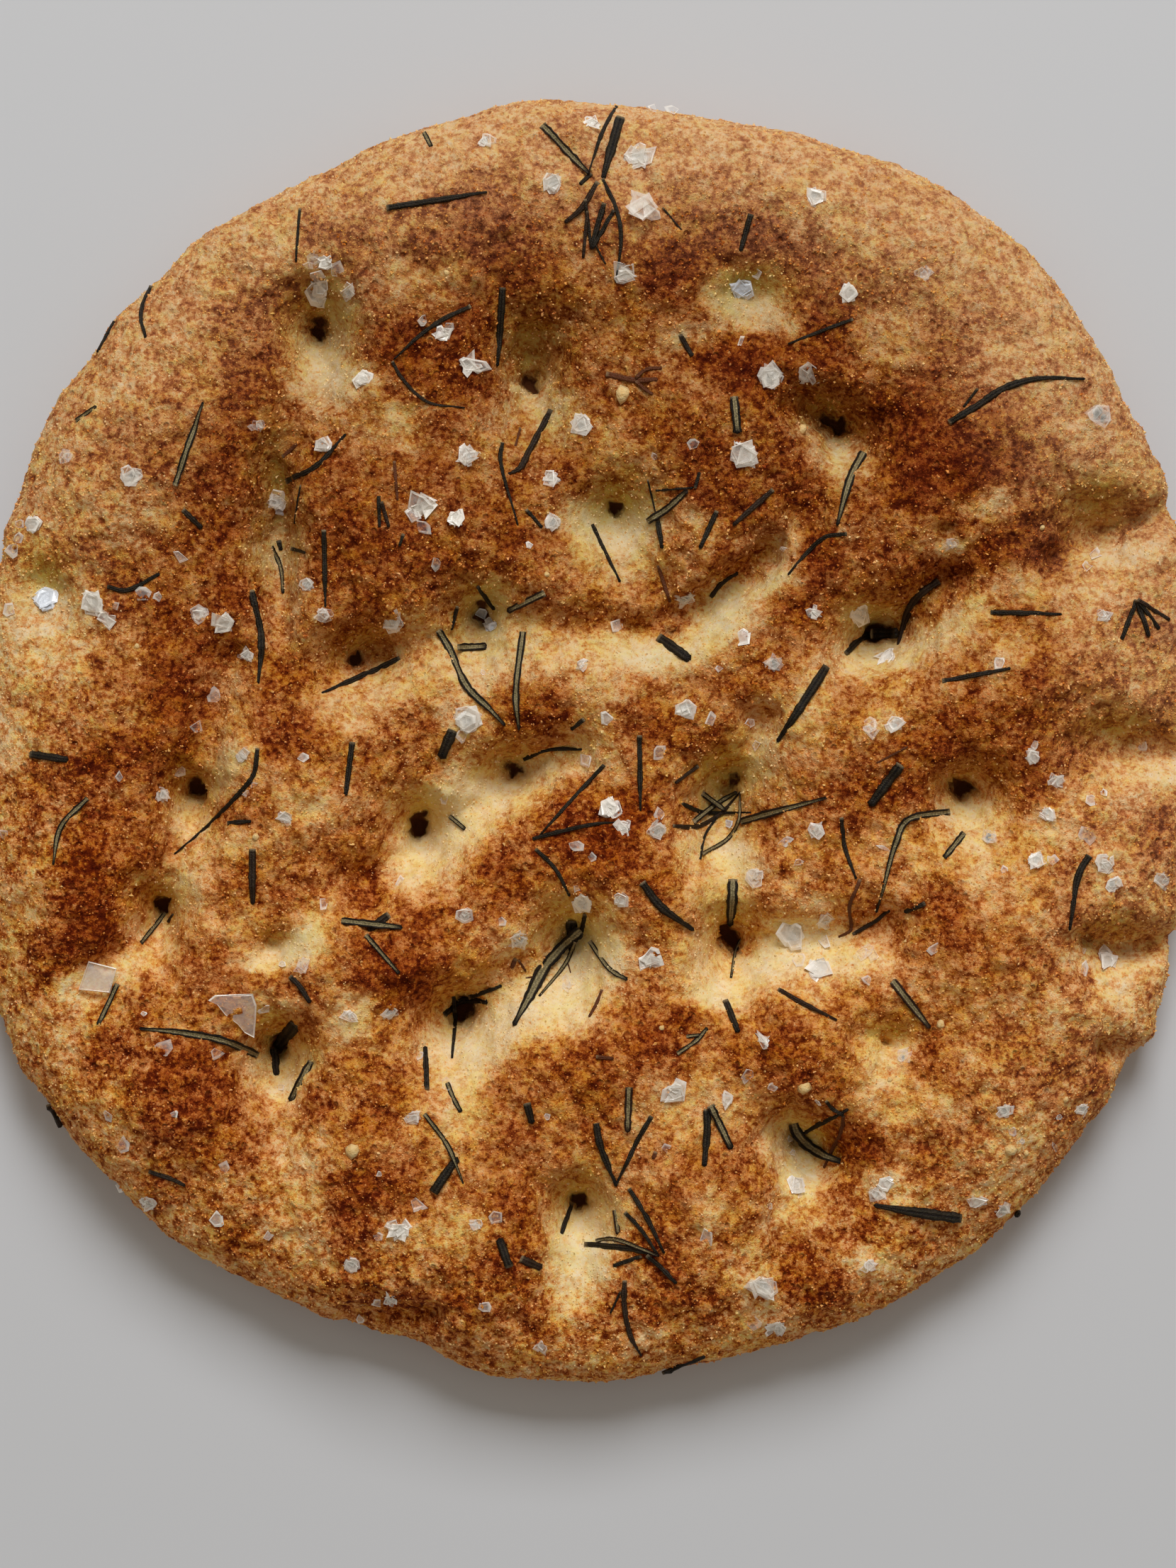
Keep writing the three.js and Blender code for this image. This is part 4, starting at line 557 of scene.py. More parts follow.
# Meal and crumbs
GRAINS = 46000
GRAIN_CORNERS = np.array([(1, 0, -0.6), (0, 1, -0.6), (-1, 0, -0.6), (0, -1, -0.6), (0, 0, 1)], float)
GRAIN_FACES = np.array([(0, 1, 4), (1, 2, 4), (2, 3, 4), (3, 0, 4)])
GRAIN_SIZE = (0.24, 0.6)
GRAIN_SPREAD = (0.6, 1.2)
GRAIN_JITTER = (0.6, 1.25)
GRAIN_FLATNESS = (0.6, 1)
GRAIN_STANDS = (0.5, 0.9)
GRAIN_BROWNING = (0.45, 1.2)
MEAL_DEPTH = 0.2
CRUMB_RINGS = 4
CRUMB_SIDES = 7
CRUMB_JITTER = (0.7, 1.15)
CRUMB_POLE = 0.3
CRUMB_STANDS = 0.6
SEED = 417

# Colours of the dough from pale to almost burnt, as linear light.
BROWNING_STOPS = [
    (0.00, (0.85, 0.71, 0.42)),
    (0.20, (0.90, 0.61, 0.25)),
    (0.40, (0.84, 0.359, 0.092)),
    (0.60, (0.58, 0.158, 0.022)),
    (0.80, (0.35, 0.062, 0.007)),
    (1.00, (0.20, 0.025, 0.002)),
]
TAN = (0.76, 0.42, 0.23, 1)
DULL = (0.71, 0.73, 0.76, 1)
GOLDEN = (1.0, 1.0, 0.46, 1)
PINKISH = (1.0, 0.98, 1.3, 1)
# Painted shade in the crevices between the crags and painted light on their crests.
CREVICE_SHADE = (0.32, 0.13, 0.03, 1)
CREST_LIGHT = (1.08, 1.08, 1.03, 1)
# Oil tint and painted shade on the far walls of the dimples.
OILY_SHADE = (0.79, 0.77, 0.38, 1)
# Painted shade deep in the holes.
HOLE_SHADE = (0.10, 0.032, 0.010, 1)
# Painted shade in the open pores.
PORE_SHADE = (0.34, 0.075, 0.014, 1)
NEEDLE_DARKS = [(0.3, (0.004, 0.003, 0.002)), (0.7, (0.018, 0.011, 0.007))]
NEEDLE_PALES = [(0.3, (0.12, 0.09, 0.035)), (0.7, (0.50, 0.40, 0.20))]
NEEDLE_RED = (0.13, 0.033, 0.010, 1)
NEEDLE_STEM = (0.42, 0.30, 0.16, 1)
SALT_WHITE = (1.0, 0.93, 0.82, 1)
SALT_BLUE = (0.80, 0.88, 1.0, 1)
CRUMB_STOPS = [(0.3, (0.72, 0.42, 0.13)), (0.7, (0.80, 0.60, 0.28))]
FLOOR = (0.61, 0.61, 0.62, 1)
KEY_COLOUR = (0.935, 0.964, 1)
FILL_COLOUR = (1, 0.93, 0.82, 1)

# Noises of the materials: size in millimetres, detail and roughness.
COARSE_SPOTS = (1.9, 3, 0.6)
FINE_SPOTS = (0.7, 2, 0.6)
FINE_SPECKS = (0.6, 1, 0.5)
MEAL_GRAIN = (1.1, 4, 0.8)
CRAGS = (3.2, 3, 0.65)
PORE_AREAS = (6, 2, 0.5)
HOLE_SHADE_EDGE = (1.2, 2, 0.6)
ON_A_GRAIN = (0.3, 2, 0.6)
NEEDLE_BLOTCHES = (1.1, 2, 0.6)
NEEDLE_STRIPES = (0.35, 2, 0.7)
NEEDLE_WRINKLES = (0.2, 2, 0.6)
SALT_CLOUDS = (0.9, 3, 0.6)
SALT_RIPPLES = (0.5, 2, 0.5)
CRUMB_BLOTCHES = (1.0, 2, 0.6)
CRUMB_GRAIN = (0.5, 2, 0.6)
# Noises that turn the crust golden or pinkish, with their weights.
TINTS = [((0.8, 2, 0.6), 1.8), ((2.4, 2, 0.6), 2.2), ((9, 2, 0.5), 2.0)]
TINT_START = -2.6
ELSEWHERE = (31, 17, 5)

# Cells of the materials, in millimetres
MEAL_CELLS = 1.3
PORE_CELLS = 2.4
WRINKLE_CELLS = 0.32

# Shares and ranges of the materials
COARSE_SHARE = 0.5
FINE_SHARE = 0.4
SPECK_RANGE = (0.62, 0.72, 0, 0.22)
CELL_SHARE = 0.25
CRAG_SHARE = 0.7
CRAG_LIGHT_RANGE = (0.46, 0.79)
PORE_RANGE = (0.13, 0.3, 0.8, 0)
PORE_AREA_RANGE = (0.4, 0.6)
PORES_AT_RIM = 0.5
TAN_SHARE = 0.4
HOLE_SHADE_RANGE = (0.5, 0.8)
HOLE_SHADE_RAGGED = 0.5
ROUGHNESS_BY_OIL = (0, 1, 0.72, 0.42)
# How each of these rises: its slope and its start. The two hollow ones paint shade as browning.
CRUST_HOLLOW_SHADE = (-0.4, 0.31)
MEAL_HOLLOW_SHADE = (-0.5, 0.25)
SPOTS_BY_BROWNING = (1.6, 0.2)
SPOTS_AT_RIM = 0.4
TINT_BY_BROWNING = (1.1, 0.25)
PORES_BY_BROWNING = (1.3, 0.1)
CRAG_SHADE_BY_BROWNING = (1.1, 0.1)
BUMP_BY_BROWNING = (1.5, 0.2)
# Places of the colour sockets of a mix node.
MIX_SHARE, MIX_A, MIX_B, MIX_RESULT = 0, 6, 7, 2

# Camera and light
VIEW_CENTRE = (-0.4, -8.9, 15)
VIEW_WIDTH = 331.8
VIEW_DISTANCE = 900
SENSOR = 36
KEY_PLACE = (250, 2000, 1900)
KEY_SIZE = 1300
KEY_POWER = 64
FILL_STRENGTH = 0.305
FLOOR_HALF = 3000

random = np.random.default_rng(SEED)
TURNED = np.array(Euler(NOISE_TURN).to_matrix())


def curve_points(points, closed, count):
    """Points at even steps of a centripetal curve through the given ones."""
    points = np.array(points, float)
    if closed:
        padded = np.vstack([points[-1:], points, points[:2]])
    else:
        padded = np.vstack([2 * points[0] - points[1], points, 2 * points[-1] - points[-2]])
    spans = len(padded) - 3
    made = []
    for share in np.linspace(0, spans, count + 1):
        i = min(int(share), spans - 1)
        t = share - i
        p0, p1, p2, p3 = padded[i : i + 4]
        d0, d1, d2 = (max(np.linalg.norm(b - a), 1e-4) ** 0.5 for a, b in ((p0, p1), (p1, p2), (p2, p3)))
        start = ((p1 - p0) / d0 - (p2 - p0) / (d0 + d1) + (p2 - p1) / d1) * d1
        end = ((p2 - p1) / d1 - (p3 - p1) / (d1 + d2) + (p3 - p2) / d2) * d1
        bend = (3 * (p2 - p1) - 2 * start - end) * t * t
        twist = (2 * (p1 - p2) + start + end) * t**3
        made.append(p1 + start * t + bend + twist)
    return np.array(made)


def rim_table():
    """Bearings all round the rim, in rising order, and the rim's radius at each."""
    outline = curve_points(RIM, True, RIM_STEPS)
    bearings = np.arctan2(outline[:, 1], outline[:, 0])
    order = np.argsort(bearings)
    return bearings[order], np.hypot(outline[:, 0], outline[:, 1])[order]


RIM_BEARINGS, RIM_RADII = rim_table()


def rim_radius(bearing):
    """How far the rim is from the middle at each bearing."""
    return np.interp(bearing, RIM_BEARINGS, RIM_RADII, period=2 * math.pi)


def oval(x, y, mark):
    """How strongly an oval mark counts at each point: 1 in its middle, fading to nothing."""
    mid_x, mid_y, across, along, _, turn = (*mark, 0)[:6]
    angle = math.radians(turn)
    dx = x - mid_x
    dy = y - mid_y
    u = (dx * math.cos(angle) + dy * math.sin(angle)) / across
    v = (dy * math.cos(angle) - dx * math.sin(angle)) / along
    return np.exp(-(u * u + v * v))


def steep_oval(x, y, mark):
    """The same, with steep sides and a flat floor."""
    return np.exp(-(np.log(np.maximum(oval(x, y, mark), 1e-30)) ** 2))


def far_wall(mark, up, wide, long):
    """The far wall of a bowl, as an oval mark of its own."""
    x, y, across, along, depth, turn = (*mark, 0)[:6]
    return x, y + up * along, wide * across, long * along, depth, turn


def leaned(rise):
    """Makes the near side of a dent gentler and its far side steeper."""
    return np.where(rise < 0, rise / NEAR_REACH, rise / FAR_REACH)


def trough(x, y, mark):
    """How strongly a fold counts at each point: 1 along its line, fading to nothing."""
    start_x, start_y, end_x, end_y, _, half_width = mark
    run_x = end_x - start_x
    run_y = end_y - start_y
    along = ((x - start_x) * run_x + (y - start_y) * run_y) / (run_x**2 + run_y**2)
    share = np.clip(along, 0, 1)
    away = np.hypot(x - start_x - share * run_x, leaned(y - start_y - share * run_y)) / half_width
    return np.exp(-away * away)


def strongest(marks, amount):
    """The largest amount that any of the marks has at each point."""
    return np.max([amount(mark) for mark in marks], axis=0)


def depth_share(mark):
    """A dent's depth as a share from 0 to 1: it sets a hole's painted shade and a bowl's pale far wall."""
    return min(1, mark[4] / FULL_SHARE_DEPTH)


def crease_depth(x, y):
    """How deep the folds are at each point, before they are scaled."""
    return strongest(CREASES, lambda mark: trough(x, y, mark) * mark[4])


def relief(x, y):
    """How far the loaf's top stands over its plain height."""
    swell = sum(height * np.sin(by_x * x + by_y * y + first) for height, by_x, by_y, first in SWELLS)
    raised = MOUND_SCALE * sum(oval(x, y, mark) * mark[4] for mark in MOUNDS)
    bowls = strongest(BOWLS, lambda mark: oval(x, mark[1] + leaned(y - mark[1]), mark) * mark[4])
    pressed = BOWL_SCALE * bowls
    folded = CREASE_SCALE * crease_depth(x, y)
    return swell + raised - np.maximum(pressed, folded) - MOST_OVERLAP * np.minimum(pressed, folded)


def shoulder_height(share):
    """Height over the waist, from 1 on the flat of the crust to 0 at the rim."""
    out = np.clip((share - SHOULDER_START) / (1 - SHOULDER_START), 0, 1)
    return (1 - out**SHOULDER_POWER) ** (1 / SHOULDER_POWER)


def crust_height(x, y):
    shoulder = shoulder_height(np.hypot(x, y) / rim_radius(np.arctan2(y, x)))
    return WAIST_HEIGHT + (CRUST_HEIGHT - WAIST_HEIGHT + relief(x, y)) * shoulder


def turned(points, size, shift):
    """The points as a noise sees them, at an angle so that no rows of lumps show along x or y."""
    return points @ TURNED / size + shift * NOISE_SHIFT


def field(points, size, shift):
    """Smooth noise between about -1 and 1, with lumps of the given size."""
    return np.array([noise.noise(Vector(place)) for place in turned(points, size, shift)])


def cells(points, size, shift):
    """Distance to the middle of the nearest cell, over the cell size."""
    return np.array([noise.voronoi(Vector(place))[0][0] for place in turned(points, size, shift)])


def layered(points, layers):
    """Smooth noises of several sizes, each times its own height, added up."""
    return sum(height * field(points, *lumps) for lumps, height in layers)


def smooth_step(low, high, value):
    share = np.clip((value - low) / (high - low), 0, 1)
    return share * share * (3 - 2 * share)


def crust_shares():
    """Places along the shoulder's curve, from the middle of the top to the waist, at even steps."""
    angle = np.linspace(0, math.pi / 2, SHOULDER_STEPS + 1)
    flat = np.linspace(0, SHOULDER_START, SHOULDER_STEPS, endpoint=False)
    bent = SHOULDER_START + (1 - SHOULDER_START) * np.sin(angle) ** (2 / SHOULDER_POWER)
    share = np.append(flat, bent)
    away = share * MEAN_RADIUS
    height = (CRUST_HEIGHT - WAIST_HEIGHT) * shoulder_height(share)
    travelled = np.concatenate([[0], np.cumsum(np.hypot(np.diff(away), np.diff(height)))])
    steps = round(travelled[-1] / CRUST_FACE_SIZE)
    return np.interp(np.linspace(0, travelled[-1], steps + 1), travelled, share)


def around(share, size):
    """Bearings of one ring of points."""
    count = max(1, round(2 * math.pi * MEAN_RADIUS * share / size))
    return 2 * math.pi * np.arange(count) / count


def pinch(bearing):
    """How far the folds pull in the rim."""
    rim = rim_radius(bearing)
    return RIM_PINCH * crease_depth(rim * np.cos(bearing), rim * np.sin(bearing))


def ring(bearing, radius, height, share):
    """Points of one ring as x, y, z and the share of the way out to the rim."""
    columns = (radius * np.cos(bearing), radius * np.sin(bearing), height, share)
    return np.column_stack(np.broadcast_arrays(*columns))


def bread_rings():
    """All rings of the loaf and how many of them are crust; the crust's rings come first."""
    rings = []
    for share in crust_shares():
        bearing = around(share, CRUST_FACE_SIZE)
        reach = rim_radius(bearing) * share
        height = crust_height(reach * np.cos(bearing), reach * np.sin(bearing))
        rings.append(ring(bearing, reach - pinch(bearing) * share**RIM_PINCH_POWER, height, share))
    crust_rings = len(rings)
    side_rings = round(math.pi / 4 * (WAIST_HEIGHT + TUCK) / SIDE_FACE_SIZE)
    for i in range(1, side_rings + 1):
        angle = math.pi / 2 * i / side_rings
        bearing = around(1, SIDE_FACE_SIZE)
        radius = rim_radius(bearing) - pinch(bearing) - TUCK * (1 - math.cos(angle))
        rings.append(ring(bearing, radius, WAIST_HEIGHT * (1 - math.sin(angle)), 1))
    for share in BASE_SHARES:
        bearing = around(share, BASE_FACE_SIZE * share)
        rings.append(ring(bearing, (rim_radius(bearing) - TUCK) * share, 0, 1))
    rings.append(ring(np.zeros(1), 0, 0, 1))
    return rings, crust_rings


def joined_rings(rings):
    """Joins each ring to the next with triangles, whatever their counts."""
    faces = []
    first = 0
    for near, far in zip(rings, rings[1:]):
        inner, outer = len(near), len(far)
        after = first + inner
        i = j = 0
        while i < inner or j < outer:
            here = first + i % inner
            there = after + j % outer
            if i >= inner or (j < outer and (j + 1) / outer <= (i + 1) / inner):
                if outer > 1:
                    faces.append((here, there, after + (j + 1) % outer))
                j += 1
            else:
                if inner > 1:
                    faces.append((here, there, first + (i + 1) % inner))
                i += 1
        first = after
    return np.array(faces)


def point_normals(points, faces):
    """Which way the surface faces at each point, from the triangles around it."""
    a, b, c = (points[faces[:, k]] for k in range(3))
    across = np.cross(b - a, c - a)
    normals = np.zeros_like(points)
    for k in range(3):
        np.add.at(normals, faces[:, k], across)
    return normals / np.maximum(np.linalg.norm(normals, axis=1, keepdims=True), 1e-12)


def roughness_relief(points, share, brown):
    """How far the mealy surface stands proud of the smooth loaf; the pale dough is the smoothest."""
    made = layered(points, LUMPS)
    made *= 1 - RIM_SMOOTHING * smooth_step(*SMOOTH_BAND, share)
    made += COBBLE_HEIGHT * (0.5 - cells(points, *COBBLES))
    pits = np.clip(1 - cells(points, *PITS) / PIT_REACH, 0, 1)
    made -= PIT_DEPTH * pits * smooth_step(*PITTED_RANGE, field(points, *PITTED_AREAS))
    made += SIDE_LUMP_HEIGHT * smooth_step(*SIDE_BAND, share) * field(points, *SIDE_LUMPS)
    for x, y, half in PORES:
        made -= PORE_DEPTH * half * oval(points[:, 0], points[:, 1], (x, y, half, half, 1))
    rough = PALE_SMOOTHNESS + (1 - PALE_SMOOTHNESS) * smooth_step(*PALE_RANGE, brown)
    return made * smooth_step(*LOWEST_ROUGH, points[:, 2]) * rough


def browning(points, share):
    """How brown the crust is at each point, from 0, pale, to 1, dark."""
    x = points[:, 0] + PATCH_WANDER * layered(points, WANDER_X)
    y = points[:, 1] + PATCH_WANDER * layered(points, WANDER_Y)
    bearing = np.arctan2(points[:, 1], points[:, 0])
    rim = RIM_BROWNING - RIM_NEAR_BROWNER * np.sin(bearing)
    band = smooth_step(*BROWN_BAND, share)
    total = PLAIN_WEIGHT * (PLAIN_BROWNING * (1 - band) + rim * band)
    weight = np.full(len(points), PLAIN_WEIGHT)
    for mark in BAKED + UNBAKED:
        amount = PATCH_WEIGHT / math.sqrt(mark[2] * mark[3]) * oval(x, y, mark)
        total += amount * mark[4]
        weight += amount
    brown = PLAIN_BROWNING + BROWNING_CONTRAST * (total / weight - PLAIN_BROWNING)
    brown += layered(points, UNEVEN_BROWNING) * smooth_step(*UNEVEN_RANGE, brown)
    inside = strongest(BOWLS, lambda mark: depth_share(mark) * oval(x, y, far_wall(mark, *PALE_WALL)))
    return np.clip(brown + INSIDE_PALER * inside * (INSIDE_BROWNING - brown), 0, 1)


def oiled_and_shaded(points):
    """The far walls of the dimples, where oil soaked in and painted shade darkens the colour, from 0 to 1.
    """
    x = points[:, 0]
    y = points[:, 1] + PATCH_WANDER * field(points, *OIL_AND_SHADE_WANDER)
    return strongest(BOWLS, lambda mark: oval(x, y, far_wall(mark, *OILED_SHADED_WALL)))


def dulled(points, rim):
    """How much darker the colour is made, from 0 at the near end to 1 at the far one, less so at the rim.
    """
    y = points[:, 1] + DULL_WANDER * field(points, *DULL_EDGE)
    return smooth_step(*DULL_RANGE, y) * (1 - DULL_AT_RIM * rim)


def tan_rim(points, share):
    """Where the rim took less heat and stayed a dull tan."""
    bearing = np.degrees(np.arctan2(points[:, 1], points[:, 0]))
    facing = TAN_ALL_ROUND + (1 - TAN_ALL_ROUND) * np.cos(np.radians(bearing - TAN_BEARING))
    return smooth_step(*TAN_BAND, share) * np.clip(facing, 0, 1)


def new_piece(name, points, faces, values, material, smooth=True):
    """A mesh piece, from points in millimetres, with named values at its points."""
    mesh = bpy.data.meshes.new(name)
    mesh.from_pydata((np.asarray(points) * MM).tolist(), [], faces)
    mesh.polygons.foreach_set("use_smooth", np.full(len(mesh.polygons), smooth))
    for label, numbers in values.items():
        attribute = mesh.attributes.new(label, "FLOAT", "POINT")
        attribute.data.foreach_set("value", np.asarray(numbers, np.float32))
    mesh.materials.append(material)
    mesh.update()
    piece = bpy.data.objects.new(name, mesh)
    bpy.context.scene.collection.objects.link(piece)
    return piece


class Output:
    """An output of a material's node. Where it is a number, it takes part in plain arithmetic."""

    def __init__(self, shader, socket):
        self.shader = shader
        self.socket = socket

    def math(self, operation, other, clamp=False):
        return self.shader.node("ShaderNodeMath", {0: self, 1: other}, operation=operation, use_clamp=clamp)

    def __add__(self, other):
        return self.math("ADD", other)

    def __sub__(self, other):
        return self.math("SUBTRACT", other)

    def __mul__(self, other):
        return self.math("MULTIPLY", other)

    def clamped(self):
        """Kept between 0 and 1."""
        return self.math("ADD", 0, clamp=True)

    def rising(self, slope, start):
        """A number that grows with this one by the slope, from the start."""
        return self * slope + start


class Shader:
    """A short way to write a material's nodes."""

    def __init__(self, name):
        self.material = bpy.data.materials.new(name)
        self.material.use_nodes = True
        self.tree = self.material.node_tree
        self.surface = self.tree.nodes["Principled BSDF"]

    def put(self, socket, value):
        if isinstance(value, Output):
            self.tree.links.new(value.socket, socket)
        else:
            socket.default_value = value

    def node(self, kind, inputs=None, output=0, **settings):
        made = self.tree.nodes.new(kind)
        for name, value in settings.items():
            setattr(made, name, value)
        for name, value in (inputs or {}).items():
            self.put(made.inputs[name], value)
        return Output(self, made.outputs[output])

    @cached_property
    def place(self):
        """The point's place in millimetres."""
        at = self.node("ShaderNodeTexCoord", output="Object")
        return self.node("ShaderNodeVectorMath", {0: at, "Scale": 1 / MM}, operation="SCALE")

    def value(self, name):
        """A value that the piece has at its points."""
        return self.node("ShaderNodeAttribute", output="Fac", attribute_name=name)

    def noise(self, size, detail, roughness, place=None):
        """Noise between 0 and 1 with lumps of this many millimetres."""
        inputs = {"Vector": place or self.place, "Scale": 1 / size}
        inputs |= {"Detail": detail, "Roughness": roughness}
        return self.node("ShaderNodeTexNoise", inputs, output="Fac")

    def cells(self, size):
        """Distance to the middle of the nearest cell, over the cell size."""
        inputs = {"Vector": self.place, "Scale": 1 / size}
        return self.node("ShaderNodeTexVoronoi", inputs, output="Distance")

    def graded(self, value, low, high, at_low=0, at_high=1):
        """How far the value is from low to high, as a number from at_low to at_high."""
        inputs = {"Value": value, "From Min": low, "From Max": high, "To Min": at_low, "To Max": at_high}
        return self.node("ShaderNodeMapRange", inputs, output="Result")

    def mix(self, share, a, b, blend="MIX"):
        inputs = {MIX_SHARE: share, MIX_A: a, MIX_B: b}
        return self.node("ShaderNodeMix", inputs, output=MIX_RESULT, data_type="RGBA", blend_type=blend)

    def ramp(self, share, stops):
        """The colour at a share of the way through the stops."""
        made = self.tree.nodes.new("ShaderNodeValToRGB")
        elements = made.color_ramp.elements
        while len(elements) < len(stops):
            elements.new(0.5)
        for element, (at, colour) in zip(elements, stops):
            element.position = at
            element.color = (*colour, 1)
        self.put(made.inputs["Fac"], share)
        return Output(self, made.outputs["Color"])

    def bump(self, height, distance, strength=1.0):
        inputs = {"Height": height, "Distance": distance * MM, "Strength": strength}
        return self.node("ShaderNodeBump", inputs)

    def finish(self, **inputs):
        for name, value in inputs.items():
            self.put(self.surface.inputs[name.replace("_", " ")], value)
        return self.material


def baked_colour(shader, brown, hollow_shade):
    """The crust's mottled colour for a browning from 0 to 1, browner in the crag hollows as painted shade.
    """
    elsewhere = shader.node("ShaderNodeVectorMath", {0: shader.place, 1: ELSEWHERE}, operation="ADD")
    coarse = (shader.noise(*COARSE_SPOTS) - 0.5) * COARSE_SHARE
    fine = (shader.noise(*FINE_SPOTS, elsewhere) - 0.5) * FINE_SHARE
    strength = brown.rising(*SPOTS_BY_BROWNING) + shader.value("rim") * SPOTS_AT_RIM
    specks = shader.graded(shader.noise(*FINE_SPECKS), *SPECK_RANGE)
    spotted = ((coarse + fine + hollow_shade) * strength + brown + specks).clamped()
    golden = TINT_START
    for noise_kind, weight in TINTS:
        golden = shader.noise(*noise_kind, elsewhere) * weight + golden
    tint = shader.mix(golden.clamped(), PINKISH, GOLDEN)
    tinted = brown.rising(*TINT_BY_BROWNING).clamped()
    return shader.mix(tinted, shader.ramp(spotted, BROWNING_STOPS), tint, "MULTIPLY")


def crust_material():
    shader = Shader("crust")
    brown = shader.value("browning")
    grain = shader.noise(*MEAL_GRAIN) - shader.cells(MEAL_CELLS) * CELL_SHARE
    # Crags that exist only in the colour: painted shade in their hollows, painted light on their crests.
    raised = shader.graded(shader.noise(*CRAGS) * CRAG_SHARE + grain, *CRAG_LIGHT_RANGE)
    colour = baked_colour(shader, brown, raised.rising(*CRUST_HOLLOW_SHADE))
    colour = shader.mix(shader.value("tan_rim") * TAN_SHARE, colour, TAN)
    # Darker towards the far end.
    colour = shader.mix(shader.value("dull"), colour, DULL, "MULTIPLY")
    # Painted shade in the open pores, more of it at the rim and where browner.
    open_here = shader.graded(shader.noise(*PORE_AREAS), *PORE_AREA_RANGE)
    open_here = (open_here + shader.value("rim") * PORES_AT_RIM).clamped()
    pores = shader.graded(shader.cells(PORE_CELLS), *PORE_RANGE)
    pores = pores * open_here * brown.rising(*PORES_BY_BROWNING).clamped()
    colour = shader.mix(pores, colour, PORE_SHADE)
    crag_shade_share = brown.rising(*CRAG_SHADE_BY_BROWNING).clamped()
    # Painted shade in the crevices, painted light on the crests.
    colour = shader.mix(crag_shade_share, colour, shader.mix(raised, CREVICE_SHADE, CREST_LIGHT), "MULTIPLY")
    # Oil tint and painted shade on the far walls of the dimples.
    colour = shader.mix(shader.value("oil_and_shade"), colour, OILY_SHADE, "MULTIPLY")
    # Painted shade deep in the holes, with ragged edges.
    deep = shader.value("pit") + (shader.noise(*HOLE_SHADE_EDGE) - 0.5) * HOLE_SHADE_RAGGED
    colour = shader.mix(shader.graded(deep, *HOLE_SHADE_RANGE), colour, HOLE_SHADE)
    rough = shader.graded(shader.value("oil_and_shade"), *ROUGHNESS_BY_OIL)
    strength = brown.rising(*BUMP_BY_BROWNING).clamped()
    normal = shader.bump(grain - pores, distance=1.2, strength=strength)
    return shader.finish(Base_Color=colour, Roughness=rough, Specular_IOR_Level=0.06, Normal=normal)


def grain_material():
    shader = Shader("meal")
    rough = shader.noise(*ON_A_GRAIN)
    # Browner where the grain's surface is low, as painted shade.
    colour = baked_colour(shader, shader.value("browning"), rough.rising(*MEAL_HOLLOW_SHADE))
    normal = shader.bump(rough, distance=0.15)
    return shader.finish(Base_Color=colour, Roughness=0.6, Specular_IOR_Level=0.1, Normal=normal)


def rosemary_material():
    shader = Shader("rosemary")
    dark = shader.ramp(shader.noise(*NEEDLE_BLOTCHES), NEEDLE_DARKS)
    dark = shader.mix(shader.value("red"), dark, NEEDLE_RED)
    channel = shader.ramp(shader.noise(*NEEDLE_STRIPES), NEEDLE_PALES)
    # The pale channel, and the painted sheen on the dark needles' ridges.
    colour = shader.mix(shader.value("channel"), dark, channel)
    colour = shader.mix(shader.value("stem"), colour, NEEDLE_STEM)
    wrinkles = shader.cells(WRINKLE_CELLS) + shader.noise(*NEEDLE_WRINKLES)
    normal = shader.bump(wrinkles, distance=0.16, strength=0.9)
    return shader.finish(Base_Color=colour, Roughness=0.4, Specular_IOR_Level=0.14, Normal=normal)


def salt_material():
    shader = Shader("salt")
    body = shader.value("haze") * (shader.noise(*SALT_CLOUDS) + 0.5)
    alpha = (body + shader.value("edge") * shader.value("rim_haze")).clamped()
    colour = shader.mix(shader.value("blue"), SALT_WHITE, SALT_BLUE)
    normal = shader.bump(shader.noise(*SALT_RIPPLES), distance=0.12, strength=0.6)
    return shader.finish(Base_Color=colour, Roughness=0.22, IOR=1.54, Alpha=alpha, Normal=normal)


def crumb_material():
    shader = Shader("crumb")
    colour = shader.ramp(shader.noise(*CRUMB_BLOTCHES), CRUMB_STOPS)
    normal = shader.bump(shader.noise(*CRUMB_GRAIN), distance=0.3)
    return shader.finish(Base_Color=colour, Roughness=0.7, Normal=normal)


def make_bread():
    """The crust's piece, its points, faces and values, and which points are on top."""
    rings, crust_rings = bread_rings()
    faces = joined_rings(rings)
    stacked = np.vstack(rings)
    points = stacked[:, :3].copy()
    share = stacked[:, 3]
    top = np.arange(len(points)) < sum(map(len, rings[:crust_rings]))
    x, y = (points[:, k] + HOLE_RAGGED * field(points, *HOLE_EDGES[k]) for k in range(2))
    # How much painted shade darkens each hole, by its depth.
    pit = strongest(HOLES, lambda mark: steep_oval(x, y, mark) * depth_share(mark))
    deep = HOLE_SCALE * strongest(HOLES, lambda mark: steep_oval(x, y, mark) * mark[4])
    points[:, 2] -= np.where(top, deep, 0)
    brown = browning(points, share)
    points += point_normals(points, faces) * roughness_relief(points, share, brown)[:, None]
    rim = smooth_step(*RIM_BAND, share)
    values = {
        "browning": brown,
        "rim": rim,
        "dull": dulled(points, rim),
        "oil_and_shade": np.where(top, oiled_and_shaded(points), 0),
        "tan_rim": tan_rim(points, share),
        "pit": np.where(top, pit, 0),
    }
    piece = new_piece("crust", points, faces.tolist(), values, crust_material())
    return piece, points, faces, values, top


